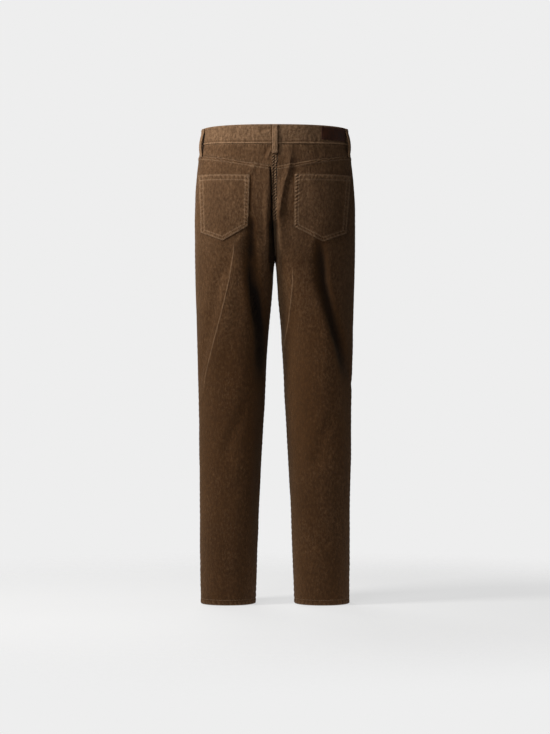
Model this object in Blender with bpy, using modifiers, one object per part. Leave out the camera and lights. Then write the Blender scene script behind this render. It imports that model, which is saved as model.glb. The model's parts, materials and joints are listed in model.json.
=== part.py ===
"""Corduroy trousers: a slim straight five-pocket cut, filled out as worn, open at waist and hems.

Metres, +Z up. The front faces -Y, the back +Y, and +X is the wearer's left.
The origin is the middle of the waist ring, where the wearer's waist holds the garment.

The garment is one smooth form, cut into pieces along its seams. At each height the form is a
half section from the side seam (angle 0) round to the centre seam or the inseam. Above the
crotch the half section stops at the plane x = 0; below it the section closes round the leg.
Every cloth piece is a wall between a grid of points on that form and the same grid moved in.
"""

import math
from collections import namedtuple

import bmesh
import bpy
import numpy as np

# ---------------------------------------------------------------- driving dimensions

CLOTH = 0.0015  # one layer of corduroy
DOUBLE_CLOTH = 0.0030  # waistband, belt loops and the turned-up hem
LEATHER = 0.0012
SEAM_GAP = 0.0003  # between pieces that are sewn together
LAYER_GAP = 0.0003  # between a piece and what it lies on
MITRE_LIMIT = 0.25  # smallest share of a wall's direction that a square cut keeps

CROTCH_Z = -0.2680
HEM_Z = -1.0150
HEM_DEPTH = 0.0130
RISE_TOP_Z = -0.0500  # the centre seams leave the widest part of the seat here
CROTCH_ARCH = 0.0120  # height over which the gap between the legs opens
CROTCH_GAP = 0.0033  # half the gap just below the arch

LEFT, RIGHT = 1, -1
BACK, FRONT = 1, -1

# The form at each height: outermost and innermost reach of one half, the crown where it is
# deepest, the fore-and-aft centre of the side seam, and the depths measured from that centre.
# Roundness 2 is an ellipse.
Section = namedtuple("Section", "z outer crown inner centre back front roundness")
SECTIONS = (
    Section(0.030, 0.1608, 0.0000, 0.0000, 0.000, 0.1105, 0.1035, 2.20),
    Section(0.000, 0.1617, 0.0000, 0.0000, 0.000, 0.1120, 0.1060, 2.20),
    Section(-0.040, 0.1672, 0.0000, 0.0000, 0.000, 0.1160, 0.1090, 2.22),
    Section(-0.080, 0.1718, 0.0060, 0.0000, 0.001, 0.1195, 0.1105, 2.26),
    Section(-0.140, 0.1757, 0.0290, 0.0000, 0.002, 0.1240, 0.1100, 2.32),
    Section(-0.200, 0.1764, 0.0540, 0.0000, 0.002, 0.1230, 0.1060, 2.34),
    Section(-0.240, 0.1763, 0.0705, 0.0000, 0.002, 0.1175, 0.1030, 2.32),
    Section(CROTCH_Z, 0.1760, 0.0800, 0.0000, 0.001, 0.1120, 0.1005, 2.30),
    Section(-0.306, 0.1750, 0.0880, 0.0030, 0.000, 0.1055, 0.0970, 2.26),
    Section(-0.372, 0.1729, 0.0917, 0.0075, 0.000, 0.0985, 0.0915, 2.22),
    Section(-0.438, 0.1712, 0.0928, 0.0113, 0.001, 0.0915, 0.0860, 2.18),
    Section(-0.504, 0.1695, 0.0941, 0.0154, 0.002, 0.0855, 0.0810, 2.16),
    Section(-0.570, 0.1678, 0.0950, 0.0189, 0.003, 0.0800, 0.0765, 2.14),
    Section(-0.669, 0.1667, 0.0973, 0.0247, 0.005, 0.0735, 0.0715, 2.12),
    Section(-0.768, 0.1654, 0.0992, 0.0297, 0.007, 0.0700, 0.0665, 2.10),
    Section(-0.900, 0.1643, 0.1016, 0.0355, 0.008, 0.0650, 0.0615, 2.10),
    Section(HEM_Z, 0.1626, 0.1031, 0.0403, 0.007, 0.0600, 0.0580, 2.10),
)

# The crease between the two halves of the seat, pressed in at the centre seam.
Cleft = namedtuple("Cleft", "z depth half_width")
CLEFTS = (
    Cleft(-0.050, 0.000, 0.009),
    Cleft(-0.100, 0.004, 0.011),
    Cleft(-0.160, 0.010, 0.014),
    Cleft(-0.210, 0.016, 0.016),
    Cleft(-0.245, 0.014, 0.016),
    Cleft(CROTCH_Z, 0.000, 0.012),
)

# The largest folds. Each runs through up to four places (angle in degrees from the side seam,
# back positive and front negative, and height). Depth is inward; a ridge has a negative depth.
Fold = namedtuple("Fold", "side half_width depth path")
FOLDS = (
    Fold(LEFT, 0.013, 0.0060, ((91, -0.212), (102, -0.245), (126, -0.353), (140, -0.410))),
    Fold(LEFT, 0.010, -0.0022, ((88, -0.270), (77, -0.357), (63, -0.437), (23, -0.577))),
    Fold(LEFT, 0.016, 0.0035, ((78, -0.262), (66, -0.340), (50, -0.425), (20, -0.540))),
    Fold(LEFT, 0.020, 0.0030, ((120, -0.560), (95, -0.640), (80, -0.700))),
    Fold(RIGHT, 0.014, 0.0062, ((84, -0.242), (86, -0.314), (75, -0.378), (35, -0.493))),
    Fold(RIGHT, 0.012, 0.0040, ((35, -0.493), (10, -0.525), (-18, -0.560))),
    Fold(RIGHT, 0.011, -0.0022, ((128, -0.300), (130, -0.355), (142, -0.405), (158, -0.454))),
    Fold(RIGHT, 0.018, 0.0028, ((60, -0.590), (85, -0.650), (100, -0.720))),
    Fold(LEFT, 0.012, 0.0040, ((-120, -0.250), (-92, -0.226), (-62, -0.216))),
    Fold(LEFT, 0.013, 0.0035, ((-128, -0.292), (-98, -0.285), (-66, -0.300))),
    Fold(RIGHT, 0.012, 0.0038, ((-118, -0.246), (-88, -0.218), (-58, -0.206))),
    Fold(RIGHT, 0.013, 0.0040, ((-130, -0.300), (-102, -0.296), (-72, -0.316))),
    Fold(LEFT, 0.020, 0.0030, ((-70, -0.560), (-95, -0.600), (-120, -0.590))),
    Fold(RIGHT, 0.020, 0.0030, ((-65, -0.600), (-90, -0.630), (-118, -0.615))),
)
FOLD_RADIUS = 0.085  # turns a fold's angle into a length round the leg
FOLD_RUN_OUT = 0.2  # share of its length over which a fold fades at each end
FOLD_END_SHARE = 0.15  # what is left of it there
FOLD_STEEPNESS = 1.6
SEAM_CALM = 14.0  # degrees either side of a seam over which folds die out
SEAM_CALM_SHARE = 0.65

SEAM_HOLD_WIDTH = 0.030  # near the centre seams a fold moves the cloth fore and aft only
SEAM_HOLD_DROP = 0.030

# The seat's centre line leans to the wearer's left between the waist and the crotch.
LEAN = 0.0045
LEAN_Z = -0.150
LEAN_SPAN = 0.075
LEAN_DEPTH = 0.050

# Waistband edges along the side (0), back (+1) and front (-1): middle, slope, bend.
BAND_TOP = (0.0215, 0.0073, -0.0033)
BAND_FOOT = (-0.0140, 0.0060, -0.0092)
BAND_PROUD = 0.0009  # the band stands out from the cloth that it encloses
BAND_LAP = 0.0017  # each end of the band moves out or in by this where they lap
BAND_OVER_END = -97.0  # ring angle of the upper end, in degrees
BAND_UNDER_END = 279.0
BAND_LAP_RAMP = 12.0

# The yoke seam is a V: its height at the centre back and how it climbs to the sides.
YOKE_POINT_Z = -0.0655
YOKE_CLIMB = 0.174

POCKET_MOUTH = 0.46  # share of the way from side seam to centre front
SCOOP_DEPTH = 0.075
FACING_REACH = 0.55
FACING_FOOT_Z = -0.112
FACING_DROP = 0.0006  # further in than one layer

FLY_LAP = 0.0050
FLY_LIFT = 0.0019
FLY_COLUMNS = (0.90, 0.97)  # shares of the front over which the lap comes in
FLY_EDGE_Z = (-0.158, -0.176)
FLY_LIFT_Z = (-0.182, -0.215)

LOOP_WIDTH = 0.0120
LOOP_TOP_DROP = 0.0010  # below the band's top edge
LOOP_STAND = 0.0045  # how far the arch rises off the band
LOOP_FOOT = 0.0080
LOOP_STEPS = 8
LOOP_SQUARENESS = 0.8
LOOP_SINK = 0.0002  # spare over the small bulge of the curved band under a straight strip

# Corners of each back pocket, as x and z, in order from the upper inner corner outwards.
BACK_POCKETS = {
    LEFT: (
        (0.0539, -0.0838), (0.1650, -0.0793), (0.1607, -0.2065), (0.1126, -0.2256), (0.0578, -0.1942),
    ),
    RIGHT: (
        (-0.0421, -0.0828), (-0.1650, -0.0810), (-0.1535, -0.2090), (-0.1031, -0.2280), (-0.0408, -0.1961),
    ),
}
PATCH_X = (-0.1515, -0.0995)
PATCH_Z = (-0.0062, 0.0215)

BUTTON_Z = 0.0000
BUTTON_RADIUS = 0.0085

# ---------------------------------------------------------------- grids

BACK_COLUMNS = (0, 0.08, 0.17, 0.27, 0.37, 0.47, 0.57, 0.67, 0.76, 0.84, 0.90, 0.95, 0.98, 1)
FRONT_COLUMNS = (0, 0.12, 0.24, 0.34, 0.41, 0.445, POCKET_MOUTH, 0.55, 0.66, 0.77, 0.86, 0.93, 0.975, 1)

# Rows: first those that ease from the shaped top edge into level ones, then level zones.
TOP_ROWS = 3
Zone = namedtuple("Zone", "top foot rows")
SEAT_ROWS = Zone(-0.130, -0.230, 5)
RISE_DROPS = (0.028, 0.018, 0.010, 0.0045, 0.0012, 0.0, -0.0008, -0.0028, -0.0060, -0.0130)
CROWDING = (0.50, 0.96)  # shares of a panel's width over which rows close up to the crotch
LEG_ZONES = (Zone(-0.300, -0.560, 11), Zone(-0.600, -0.990, 8))

YOKE_ROWS = (0.0, 0.5, 1.0)  # shares of the way down
BAND_ROWS = (0.0, 0.33, 0.67, 1.0)
SHARP_EDGE = 40.0  # degrees

MATERIALS = {
    "corduroy": ((0.115, 0.066, 0.034), 0.85, 0.0),
    "leather": ((0.040, 0.018, 0.012), 0.55, 0.0),
    "metal": ((0.42, 0.33, 0.20), 0.35, 1.0),
}

# ---------------------------------------------------------------- small helpers


def smoothstep(value, low, high):
    share = min(1.0, max(0.0, (value - low) / (high - low)))
    return share * share * (3 - 2 * share)


def signed_power(value, power):
    return math.copysign(abs(value) ** power, value)


def column_of(rows, name):
    return np.array([getattr(row, name) for row in rows])


def smooth_table(rows, name):
    """A function of height through a table's values, without corners at its rows."""
    heights = column_of(rows, "z")[::-1]
    values = column_of(rows, name)[::-1]
    slopes = np.gradient(values, heights)

    def read(z):
        z = min(max(z, heights[0]), heights[-1])
        low = min(int(np.searchsorted(heights, z, side="right")) - 1, len(heights) - 2)
        step = heights[low + 1] - heights[low]
        t = (z - heights[low]) / step
        start = (1 + 2 * t) * (1 - t) ** 2 * values[low] + t * (1 - t) ** 2 * step * slopes[low]
        end = t * t * (3 - 2 * t) * values[low + 1] + t * t * (t - 1) * step * slopes[low + 1]
        return float(start + end)

    return read


OUTER, CROWN, INNER, CENTRE, ROUNDNESS = (
    smooth_table(SECTIONS, name) for name in ("outer", "crown", "inner", "centre", "roundness")
)
DEPTH = {BACK: smooth_table(SECTIONS, "back"), FRONT: smooth_table(SECTIONS, "front")}
CLEFT_DEPTH = smooth_table(CLEFTS, "depth")
CLEFT_WIDTH = smooth_table(CLEFTS, "half_width")

# ---------------------------------------------------------------- the form

RISE_SHARPNESS = {BACK: 1.6, FRONT: 2.2}
SPREAD_FOOT_Z = -0.340
SPREAD_SHARPNESS = 10
SNUG_ROUNDNESS = 3.6  # about the crotch the inner half is squarer: flat towards the middle
SNUG_TOP_Z = -0.190
SNUG_FOOT_Z = -0.390


def inner_roundness(z):
    snug = smoothstep(z, SNUG_FOOT_Z, CROTCH_Z) * (1 - smoothstep(z, CROTCH_Z, SNUG_TOP_Z))
    return ROUNDNESS(z) + (SNUG_ROUNDNESS - ROUNDNESS(z)) * snug


def end_angle(face, z):
    """Where the half section ends: 90 degrees at the waist, 180 from the crotch down.

    The seam's own curve keeps its depth whatever the roundness of the inner half."""
    if z <= CROTCH_Z:
        return math.pi
    share = min(1.0, (z - CROTCH_Z) / (RISE_TOP_Z - CROTCH_Z))
    turn = math.pi / 2 * (1 - (1 - math.sqrt(share)) ** RISE_SHARPNESS[face])
    return math.pi - math.asin(math.sin(turn) ** (inner_roundness(z) / ROUNDNESS(z)))


def column_angle(share, z, edge):
    """Where a column of points lies: an even spread that widens slowly from the waist to the
    thigh, so only the columns next to the centre seam follow its quick turn at the crotch."""
    opened = min(1.0, max(0.0, (RISE_TOP_Z - z) / (RISE_TOP_Z - SPREAD_FOOT_Z)))
    spread = math.pi / 2 * (1 + opened * opened)
    return share * spread + share ** SPREAD_SHARPNESS * (edge - spread)


def inner_reach(z):
    """Distance of the innermost line from the middle plane."""
    below = max(0.0, CROTCH_Z - z)
    arch = math.sqrt(1 - (1 - min(1.0, below / CROTCH_ARCH)) ** 2)
    return SEAM_GAP / 2 + CROTCH_GAP * arch + max(0.0, INNER(z))


def distance_to_path(angle, z, path):
    """Distance from a place on the leg to a fold's line, and how far along the line it lies."""
    spot = np.array([math.radians(angle) * FOLD_RADIUS, z])
    nearest, along = 1.0, 0.0
    for index in range(len(path) - 1):
        start = np.array([math.radians(path[index][0]) * FOLD_RADIUS, path[index][1]])
        end = np.array([math.radians(path[index + 1][0]) * FOLD_RADIUS, path[index + 1][1]])
        run = end - start
        share = float(np.clip((spot - start) @ run / (run @ run), 0, 1))
        gap = float(np.linalg.norm(spot - start - share * run))
        if gap < nearest:
            nearest, along = gap, (index + share) / (len(path) - 1)
    return nearest, along


def fold_depth(side, face, angle, z, edge):
    """How far the folds press the cloth in here. They die out towards the seams."""
    depth = 0.0
    for fold in FOLDS:
        if fold.side != side:
            continue
        gap, along = distance_to_path(face * angle, z, fold.path)
        fade = smoothstep(along, 0.0, FOLD_RUN_OUT) * (1 - smoothstep(along, 1 - FOLD_RUN_OUT, 1.0))
        fade = FOLD_END_SHARE + (1 - FOLD_END_SHARE) * fade
        depth += fold.depth * fade * math.exp(-((gap / fold.half_width) ** 2) * FOLD_STEEPNESS)
    calm = smoothstep(min(angle, math.degrees(edge) - angle), 0.0, SEAM_CALM)
    return depth * (1 - SEAM_CALM_SHARE + SEAM_CALM_SHARE * calm)


def form_point(side, face, share, z, lift=0.0, lap=0.0):
    """A point of the form: share 0 is the side seam, 1 the centre seam or inseam.

    Lift moves it outwards, lap moves it across towards the other side of the garment."""
    edge = end_angle(face, z)
    angle = column_angle(share, z, edge)
    power = 2 / (ROUNDNESS(z) if angle <= math.pi / 2 else inner_roundness(z))
    reach = inner_reach(z)
    crown = max(CROWN(z), reach)
    if angle <= math.pi / 2:
        x = crown + (OUTER(z) - crown) * abs(math.cos(angle)) ** power
    else:
        x = crown - (crown - reach) * abs(math.cos(angle) / math.cos(edge)) ** power
    depth = DEPTH[face](z) * abs(math.sin(angle)) ** power
    press = fold_depth(side, face, math.degrees(angle), z, edge) - lift
    held = smoothstep(z, CROTCH_Z - SEAM_HOLD_DROP, CROTCH_Z) * (1 - smoothstep(x, reach, SEAM_HOLD_WIDTH))
    x -= press * math.cos(angle) * (1 - held)
    depth -= press * math.sin(angle)
    if face == BACK and z > CROTCH_Z:
        groove = max(0.0, 1 - x / CLEFT_WIDTH(z))
        depth -= max(0.0, CLEFT_DEPTH(z)) * groove * groove
    y = CENTRE(z) + face * (depth + SEAM_GAP / 2)
    return np.array([side * (x - lap), y, z])


def leaned(point):
    """The whole garment's slight lean of its seat line, applied to every piece."""
    x, y, z = point
    bell = math.exp(-(((z - LEAN_Z) / LEAN_SPAN) ** 2))
    middle = max(0.0, 1 - (x / OUTER(z)) ** 2) ** 2
    return np.array([x + LEAN * bell * middle * smoothstep(y, 0.0, LEAN_DEPTH), y, z])


def waist_share(face, share):
    """Place round the waist from the side (0) to the centre back (1) or centre front (-1)."""
    return face * abs(math.sin(share * math.pi / 2)) ** (2 / ROUNDNESS(0.0))


def edge_height(curve, place):
    middle, slope, bend = curve
    return middle + slope * place + bend * place * place


def band_foot(face, share):
    return edge_height(BAND_FOOT, waist_share(face, share))


def yoke_seam(share):
    across = OUTER(YOKE_POINT_Z) * abs(math.cos(share * math.pi / 2)) ** (2 / ROUNDNESS(YOKE_POINT_Z))
    return YOKE_POINT_Z + YOKE_CLIMB * across


def scoop_height(share):
    """Top edge of the front panel: the band's foot, dropping in a quarter ellipse at the side."""
    drop = math.sqrt(max(0.0, 1 - (share / POCKET_MOUTH) ** 2)) if share < POCKET_MOUTH else 0.0
    return band_foot(FRONT, share) - SCOOP_DEPTH * drop


# ---------------------------------------------------------------- walls


def grid_normals(grid):
    """Outward directions at a grid's points, from its own facets."""
    down = np.gradient(grid, axis=0)
    across = np.gradient(grid, axis=1)
    normals = np.cross(across, down)
    normals /= np.linalg.norm(normals, axis=2, keepdims=True)
    return normals


def outward(grid, normals):
    """The same directions, turned to point away from the leg's or seat's inside."""
    middle = grid.mean(axis=1, keepdims=True)
    middle[..., 1] = 0.0
    if np.sum((grid - middle) * normals) < 0:
        return -normals
    return normals


def seam_directions(grid, normals):
    """At a seam both pieces' walls are cut square, so they stay the seam gap apart."""
    fixed = normals.copy()
    heights = grid[:, -1, 2]
    fixed[:, 0, 1] = 0.0
    for row, z in enumerate(heights):
        if z < CROTCH_Z - SEAM_GAP / 2:
            fixed[row, -1, 1] = 0.0
        elif z < CROTCH_Z + SEAM_GAP / 2:
            fixed[row, -1] = (0.0, 0.0, -1.0)
        else:
            fixed[row, -1, 0] = 0.0
    length = np.linalg.norm(fixed, axis=2, keepdims=True)
    return fixed / np.maximum(length, MITRE_LIMIT)


def closed_wall(outer, inner):
    """Faces of the closed solid between two grids of the same shape."""
    rows, columns = outer.shape[:2]
    points = np.concatenate([outer.reshape(-1, 3), inner.reshape(-1, 3)])
    layer = rows * columns
    faces = []
    for row in range(rows - 1):
        for column in range(columns - 1):
            corner = row * columns + column
            quad = (corner, corner + columns, corner + columns + 1, corner + 1)
            faces.append(quad)
            faces.append(tuple(layer + index for index in reversed(quad)))
    top = list(range(columns))
    right = [row * columns + columns - 1 for row in range(rows)]
    foot = [(rows - 1) * columns + column for column in reversed(range(columns))]
    left = [row * columns for row in reversed(range(rows))]
    for edge in (top, right, foot, left):
        for start, end in zip(edge[:-1], edge[1:]):
            faces.append((start, end, layer + end, layer + start))
    return points, faces


def add_mesh(name, points, faces, material):
    """A smooth-shaded object from points and faces, its faces turned outwards."""
    shape = bmesh.new()
    corners = [shape.verts.new(leaned(point)) for point in points]
    for face in faces:
        shape.faces.new([corners[index] for index in face])
    bmesh.ops.recalc_face_normals(shape, faces=shape.faces)
    bmesh.ops.triangulate(shape, faces=shape.faces, quad_method="FIXED")
    return add_object(name, shape, material)


def add_object(name, shape, material):
    mesh = bpy.data.meshes.new(name)
    shape.to_mesh(mesh)
    shape.free()
    mesh.materials.append(material)
    mesh.shade_smooth()
    mesh.set_sharp_from_angle(angle=math.radians(SHARP_EDGE))
    thing = bpy.data.objects.new(name, mesh)
    TROUSERS.objects.link(thing)
    return thing


def cloth_wall(name, grid, thickness, material, start=0.0):
    """A cloth piece: the grid's surface moved in by start, and a wall from there inwards."""
    normals = outward(grid, grid_normals(grid))
    directions = seam_directions(grid, normals)
    thick = np.broadcast_to(thickness, grid.shape[:1]).reshape(-1, 1, 1)
    outer = grid - directions * start
    inner = outer - directions * thick
    points, faces = closed_wall(outer, inner)
    return add_mesh(name, points, faces, material)


def panel_rows():
    """Heights of a leg panel's rows at its side seam and at its inner edge, seat to hem.

    They differ only about the crotch, where the inner ends crowd together."""
    rows = [(z, z) for z in np.linspace(*SEAT_ROWS)]
    even = np.linspace(SEAT_ROWS.foot, LEG_ZONES[0].top, len(RISE_DROPS) + 2)[1:-1]
    rows += [(z, CROTCH_Z + drop) for z, drop in zip(even, RISE_DROPS)]
    for zone in LEG_ZONES:
        rows += [(z, z) for z in np.linspace(*zone)]
    hem_step = HEM_Z + HEM_DEPTH
    rows += [(z, z) for z in (hem_step + SEAM_GAP, hem_step, (hem_step + HEM_Z) / 2, HEM_Z)]
    return rows


def panel_grid(columns, top_edge, shape_of):
    """Rows from a shaped top edge, easing into level rows lower down."""
    rows, thickness = [], []
    for step in range(TOP_ROWS):
        down = step / TOP_ROWS
        rows.append([
            shape_of(share, top_edge(share) + (SEAT_ROWS.top - top_edge(share)) * down)
            for share in columns
        ])
        thickness.append(CLOTH)
    for outer_z, inner_z in panel_rows():
        rows.append([
            shape_of(share, outer_z + (inner_z - outer_z) * smoothstep(share, *CROWDING))
            for share in columns
        ])
        thickness.append(DOUBLE_CLOTH if outer_z <= HEM_Z + HEM_DEPTH else CLOTH)
    return np.array(rows), np.array(thickness)


# ---------------------------------------------------------------- pieces of the garment


def back_panel(side, material):
    name = "back_left" if side == LEFT else "back_right"

    def shape_of(share, z):
        return form_point(side, BACK, share, z)

    def top_edge(share):
        return yoke_seam(share) - SEAM_GAP / 2

    grid, thickness = panel_grid(BACK_COLUMNS, top_edge, shape_of)
    return cloth_wall(name, grid, thickness, material)


def yoke(side, material):
    name = "yoke_left" if side == LEFT else "yoke_right"
    rows = []
    for down in YOKE_ROWS:
        row = []
        for share in BACK_COLUMNS:
            top = band_foot(BACK, share) - SEAM_GAP / 2
            foot = yoke_seam(share) + SEAM_GAP / 2
            row.append(form_point(side, BACK, share, top + (foot - top) * down))
        rows.append(row)
    return cloth_wall(name, np.array(rows), CLOTH, material)


def front_shape(side):
    """The front's form. The wearer's left half laps over the right along the fly."""

    def shape_of(share, z):
        if side == RIGHT:
            return form_point(side, FRONT, share, z)
        lapping = 1 - smoothstep(-z, -FLY_EDGE_Z[0], -FLY_EDGE_Z[1])
        raised = 1 - smoothstep(-z, -FLY_LIFT_Z[0], -FLY_LIFT_Z[1])
        near = smoothstep(share, *FLY_COLUMNS)
        return form_point(side, FRONT, share, z, FLY_LIFT * raised * near, FLY_LAP * lapping * near)

    return shape_of


def front_panel(side, material):
    name = "front_left" if side == LEFT else "front_right"

    def top_edge(share):
        return scoop_height(share) - SEAM_GAP / 2

    grid, thickness = panel_grid(FRONT_COLUMNS, top_edge, front_shape(side))
    return cloth_wall(name, grid, thickness, material)


def pocket_facing(side, material):
    """What shows inside the scoop of the front pocket, one layer further in than the front."""
    name = "pocket_facing_left" if side == LEFT else "pocket_facing_right"
    columns = [share for share in FRONT_COLUMNS if share <= FACING_REACH]
    rows = []
    for down in BAND_ROWS:
        row = []
        for share in columns:
            top = band_foot(FRONT, share) - SEAM_GAP / 2
            row.append(form_point(side, FRONT, share, top + (FACING_FOOT_Z - top) * down))
        rows.append(row)
    return cloth_wall(name, np.array(rows), CLOTH, material, start=CLOTH + FACING_DROP)


def ring_point(angle, z, lift):
    """A point round the waist: angle 0 is the wearer's left side, 90 the centre back."""
    turn = (angle + 180) % 360 - 180
    side = LEFT if abs(turn) <= 90 else RIGHT
    face = BACK if turn >= 0 else FRONT
    share = min(abs(turn), 180 - abs(turn)) / 90
    return form_point(side, face, share, z, lift)


def ring_edge(curve, angle):
    turn = math.radians(angle)
    return edge_height(curve, signed_power(math.sin(turn), 2 / ROUNDNESS(0.0)))


def band_lap(angle):
    """Out where the upper end covers the lower, in where the lower end runs beneath it."""
    over = smoothstep(-angle, 90 - 2 * BAND_LAP_RAMP, 90 - BAND_LAP_RAMP)
    under = smoothstep(angle, 270 - 2 * BAND_LAP_RAMP, 270 - BAND_LAP_RAMP)
    return BAND_LAP * (over - under)


def band_angles():
    """Stations round the band, those of the panels' columns and its two ends."""
    quarter = [90 * share for share in BACK_COLUMNS]
    stations = [BAND_OVER_END]
    stations += [-90 + 90 * (1 - share) for share in reversed(FRONT_COLUMNS)]
    stations += quarter[1:]
    stations += [180 - angle for angle in reversed(quarter[:-1])]
    stations += [180 + 90 * share for share in FRONT_COLUMNS[1:]]
    return stations + [BAND_UNDER_END]


def band_surface():
    """The band's outer grid, top row first."""
    rows = []
    for down in BAND_ROWS:
        row = []
        for angle in band_angles():
            top = ring_edge(BAND_TOP, angle)
            foot = ring_edge(BAND_FOOT, angle) + SEAM_GAP / 2
            row.append(ring_point(angle, top + (foot - top) * down, BAND_PROUD + band_lap(angle)))
        rows.append(row)
    return np.array(rows)


def waistband(material):
    grid = band_surface()
    normals = outward(grid, grid_normals(grid))
    points, faces = closed_wall(grid, grid - normals * DOUBLE_CLOTH)
    return add_mesh("waistband", points, faces, material)


def belt_loop(name, angle, foot_drop, material):
    """A strip that bridges the band: sewn at the band's top and below its foot."""
    top = ring_edge(BAND_TOP, angle) - LOOP_TOP_DROP
    foot = ring_edge(BAND_FOOT, angle) - foot_drop
    length = top - foot
    sewn = LOOP_FOOT / length
    stations = [(0.0, 0.0)]
    for step in range(LOOP_STEPS + 1):
        turn = step / LOOP_STEPS
        stations.append((sewn + (1 - 2 * sewn) * turn, math.sin(math.pi * turn) ** LOOP_SQUARENESS))
    stations.append((1.0, 0.0))
    half_turn = math.degrees(LOOP_WIDTH / 2 / np.linalg.norm(ring_point(angle, 0.0, 0.0)[:2]))
    start = ring_point(angle - half_turn, 0.0, 0.0)
    end = ring_point(angle + half_turn, 0.0, 0.0)
    along = (end - start) / np.linalg.norm(end - start)
    out = np.array([along[1], -along[0], 0.0])
    if out @ start < 0:
        out = -out
    layers = []
    for layer in (DOUBLE_CLOTH, 0.0):
        rows = []
        for share, arch in stations:
            z = top - length * share
            seat = LAYER_GAP + LOOP_SINK + (BAND_PROUD if share < 1 else 0.0)
            middle = ring_point(angle, z, 0.0) + out * (seat + layer + LOOP_STAND * arch)
            rows.append([middle + along * LOOP_WIDTH * edge for edge in (-0.5, 0.5)])
        layers.append(np.array(rows))
    points, faces = closed_wall(*layers)
    return add_mesh(name, points, faces, material)


def trimmed(shape, planes):
    """Keeps the part of a surface on the inner side of each upright cutting plane."""
    for point, outside in planes:
        geometry = list(shape.verts) + list(shape.edges) + list(shape.faces)
        bmesh.ops.bisect_plane(
            shape, geom=geometry, plane_co=point, plane_no=outside, clear_outer=True, dist=1e-6
        )


def laid_on(name, grid, planes, thickness, material):
    """A flat piece cut from the surface that it lies on and moved out by the layer gap."""
    rows, columns = grid.shape[:2]
    shape = bmesh.new()
    corners = [shape.verts.new(leaned(point)) for point in grid.reshape(-1, 3)]
    for row in range(rows - 1):
        for column in range(columns - 1):
            corner = row * columns + column
            quad = (corner, corner + columns, corner + columns + 1, corner + 1)
            shape.faces.new([corners[index] for index in quad])
    bmesh.ops.triangulate(shape, faces=shape.faces, quad_method="FIXED")
    trimmed(shape, planes)
    shape.normal_update()
    away = 1 if sum(face.normal.y * face.calc_area() for face in shape.faces) > 0 else -1
    under = [(corner, corner.co.copy(), away * corner.normal) for corner in shape.verts]
    raised = bmesh.ops.extrude_face_region(shape, geom=list(shape.faces), use_keep_orig=True)
    tops = {tuple(item.co): item for item in raised["geom"] if isinstance(item, bmesh.types.BMVert)}
    for corner, place, normal in under:
        tops[tuple(place)].co = place + normal * (LAYER_GAP + thickness)
        corner.co = place + normal * LAYER_GAP
    bmesh.ops.recalc_face_normals(shape, faces=shape.faces)
    return add_object(name, shape, material)


def outline_planes(corners):
    """Upright planes through an outline's edges, each with its outward direction."""
    middle = np.mean(corners, axis=0)
    planes = []
    for index, start in enumerate(corners):
        end = corners[(index + 1) % len(corners)]
        outside = np.array([end[1] - start[1], start[0] - end[0]])
        if outside @ (np.array(start) - middle) < 0:
            outside = -outside
        planes.append(((start[0], 0.0, start[1]), (outside[0], 0.0, outside[1])))
    return planes


def back_pocket(side, material):
    name = "back_pocket_left" if side == LEFT else "back_pocket_right"

    def shape_of(share, z):
        return form_point(side, BACK, share, z)

    def top_edge(share):
        return yoke_seam(share) - SEAM_GAP / 2

    grid, _ = panel_grid(BACK_COLUMNS, top_edge, shape_of)
    return laid_on(name, grid, outline_planes(BACK_POCKETS[side]), CLOTH, material)


def waist_patch(material):
    corners = [
        (PATCH_X[0], PATCH_Z[0]), (PATCH_X[1], PATCH_Z[0]),
        (PATCH_X[1], PATCH_Z[1]), (PATCH_X[0], PATCH_Z[1]),
    ]
    back_half = ((0.0, 0.0, 0.0), (0.0, -1.0, 0.0))
    planes = outline_planes(corners) + [back_half]
    return laid_on("waist_patch", band_surface(), planes, LEATHER, material)


def waist_button(material):
    """A turned button on the band's upper end, its face to the front."""
    profile = (
        (0.0, 0.0030), (0.55, 0.0031), (0.80, 0.0035), (0.95, 0.0032), (1.0, 0.0022),
        (0.95, 0.0012), (0.55, 0.0009), (0.50, 0.0000), (0.0, 0.0000),
    )
    mesh = bpy.data.meshes.new("waist_button")
    shape = bmesh.new()
    ring = [shape.verts.new((BUTTON_RADIUS * radius, 0.0, height)) for radius, height in profile]
    for start, end in zip(ring[:-1], ring[1:]):
        shape.edges.new((start, end))
    shape.to_mesh(mesh)
    shape.free()
    mesh.materials.append(material)
    button = bpy.data.objects.new("waist_button", mesh)
    TROUSERS.objects.link(button)
    turn = button.modifiers.new("turned", "SCREW")
    turn.axis = "Z"
    turn.steps = 24
    turn.render_steps = 24
    turn.use_merge_vertices = True
    turn.merge_threshold = 0.00001
    turn.use_smooth_shade = True
    upper, lower = (
        ring_point(-90.0, BUTTON_Z + reach, BAND_PROUD + BAND_LAP)
        for reach in (BUTTON_RADIUS, -BUTTON_RADIUS)
    )
    lean = math.atan2(upper[1] - lower[1], upper[2] - lower[2])
    button.location = (0.0, (upper[1] + lower[1]) / 2 - LAYER_GAP, BUTTON_Z)
    button.rotation_euler = (math.radians(90) - lean, 0.0, 0.0)
    return button


# ---------------------------------------------------------------- build


def material_of(name):
    colour, roughness, metallic = MATERIALS[name]
    material = bpy.data.materials.new(name)
    material.use_nodes = True
    shader = material.node_tree.nodes["Principled BSDF"]
    shader.inputs["Base Color"].default_value = (*colour, 1.0)
    shader.inputs["Roughness"].default_value = roughness
    shader.inputs["Metallic"].default_value = metallic
    return material


for leftover in list(bpy.data.objects):
    bpy.data.objects.remove(leftover, do_unlink=True)

TROUSERS = bpy.data.collections.new("corduroy_trousers")
bpy.context.scene.collection.children.link(TROUSERS)

corduroy = material_of("corduroy")
leather = material_of("leather")
metal = material_of("metal")

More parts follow.
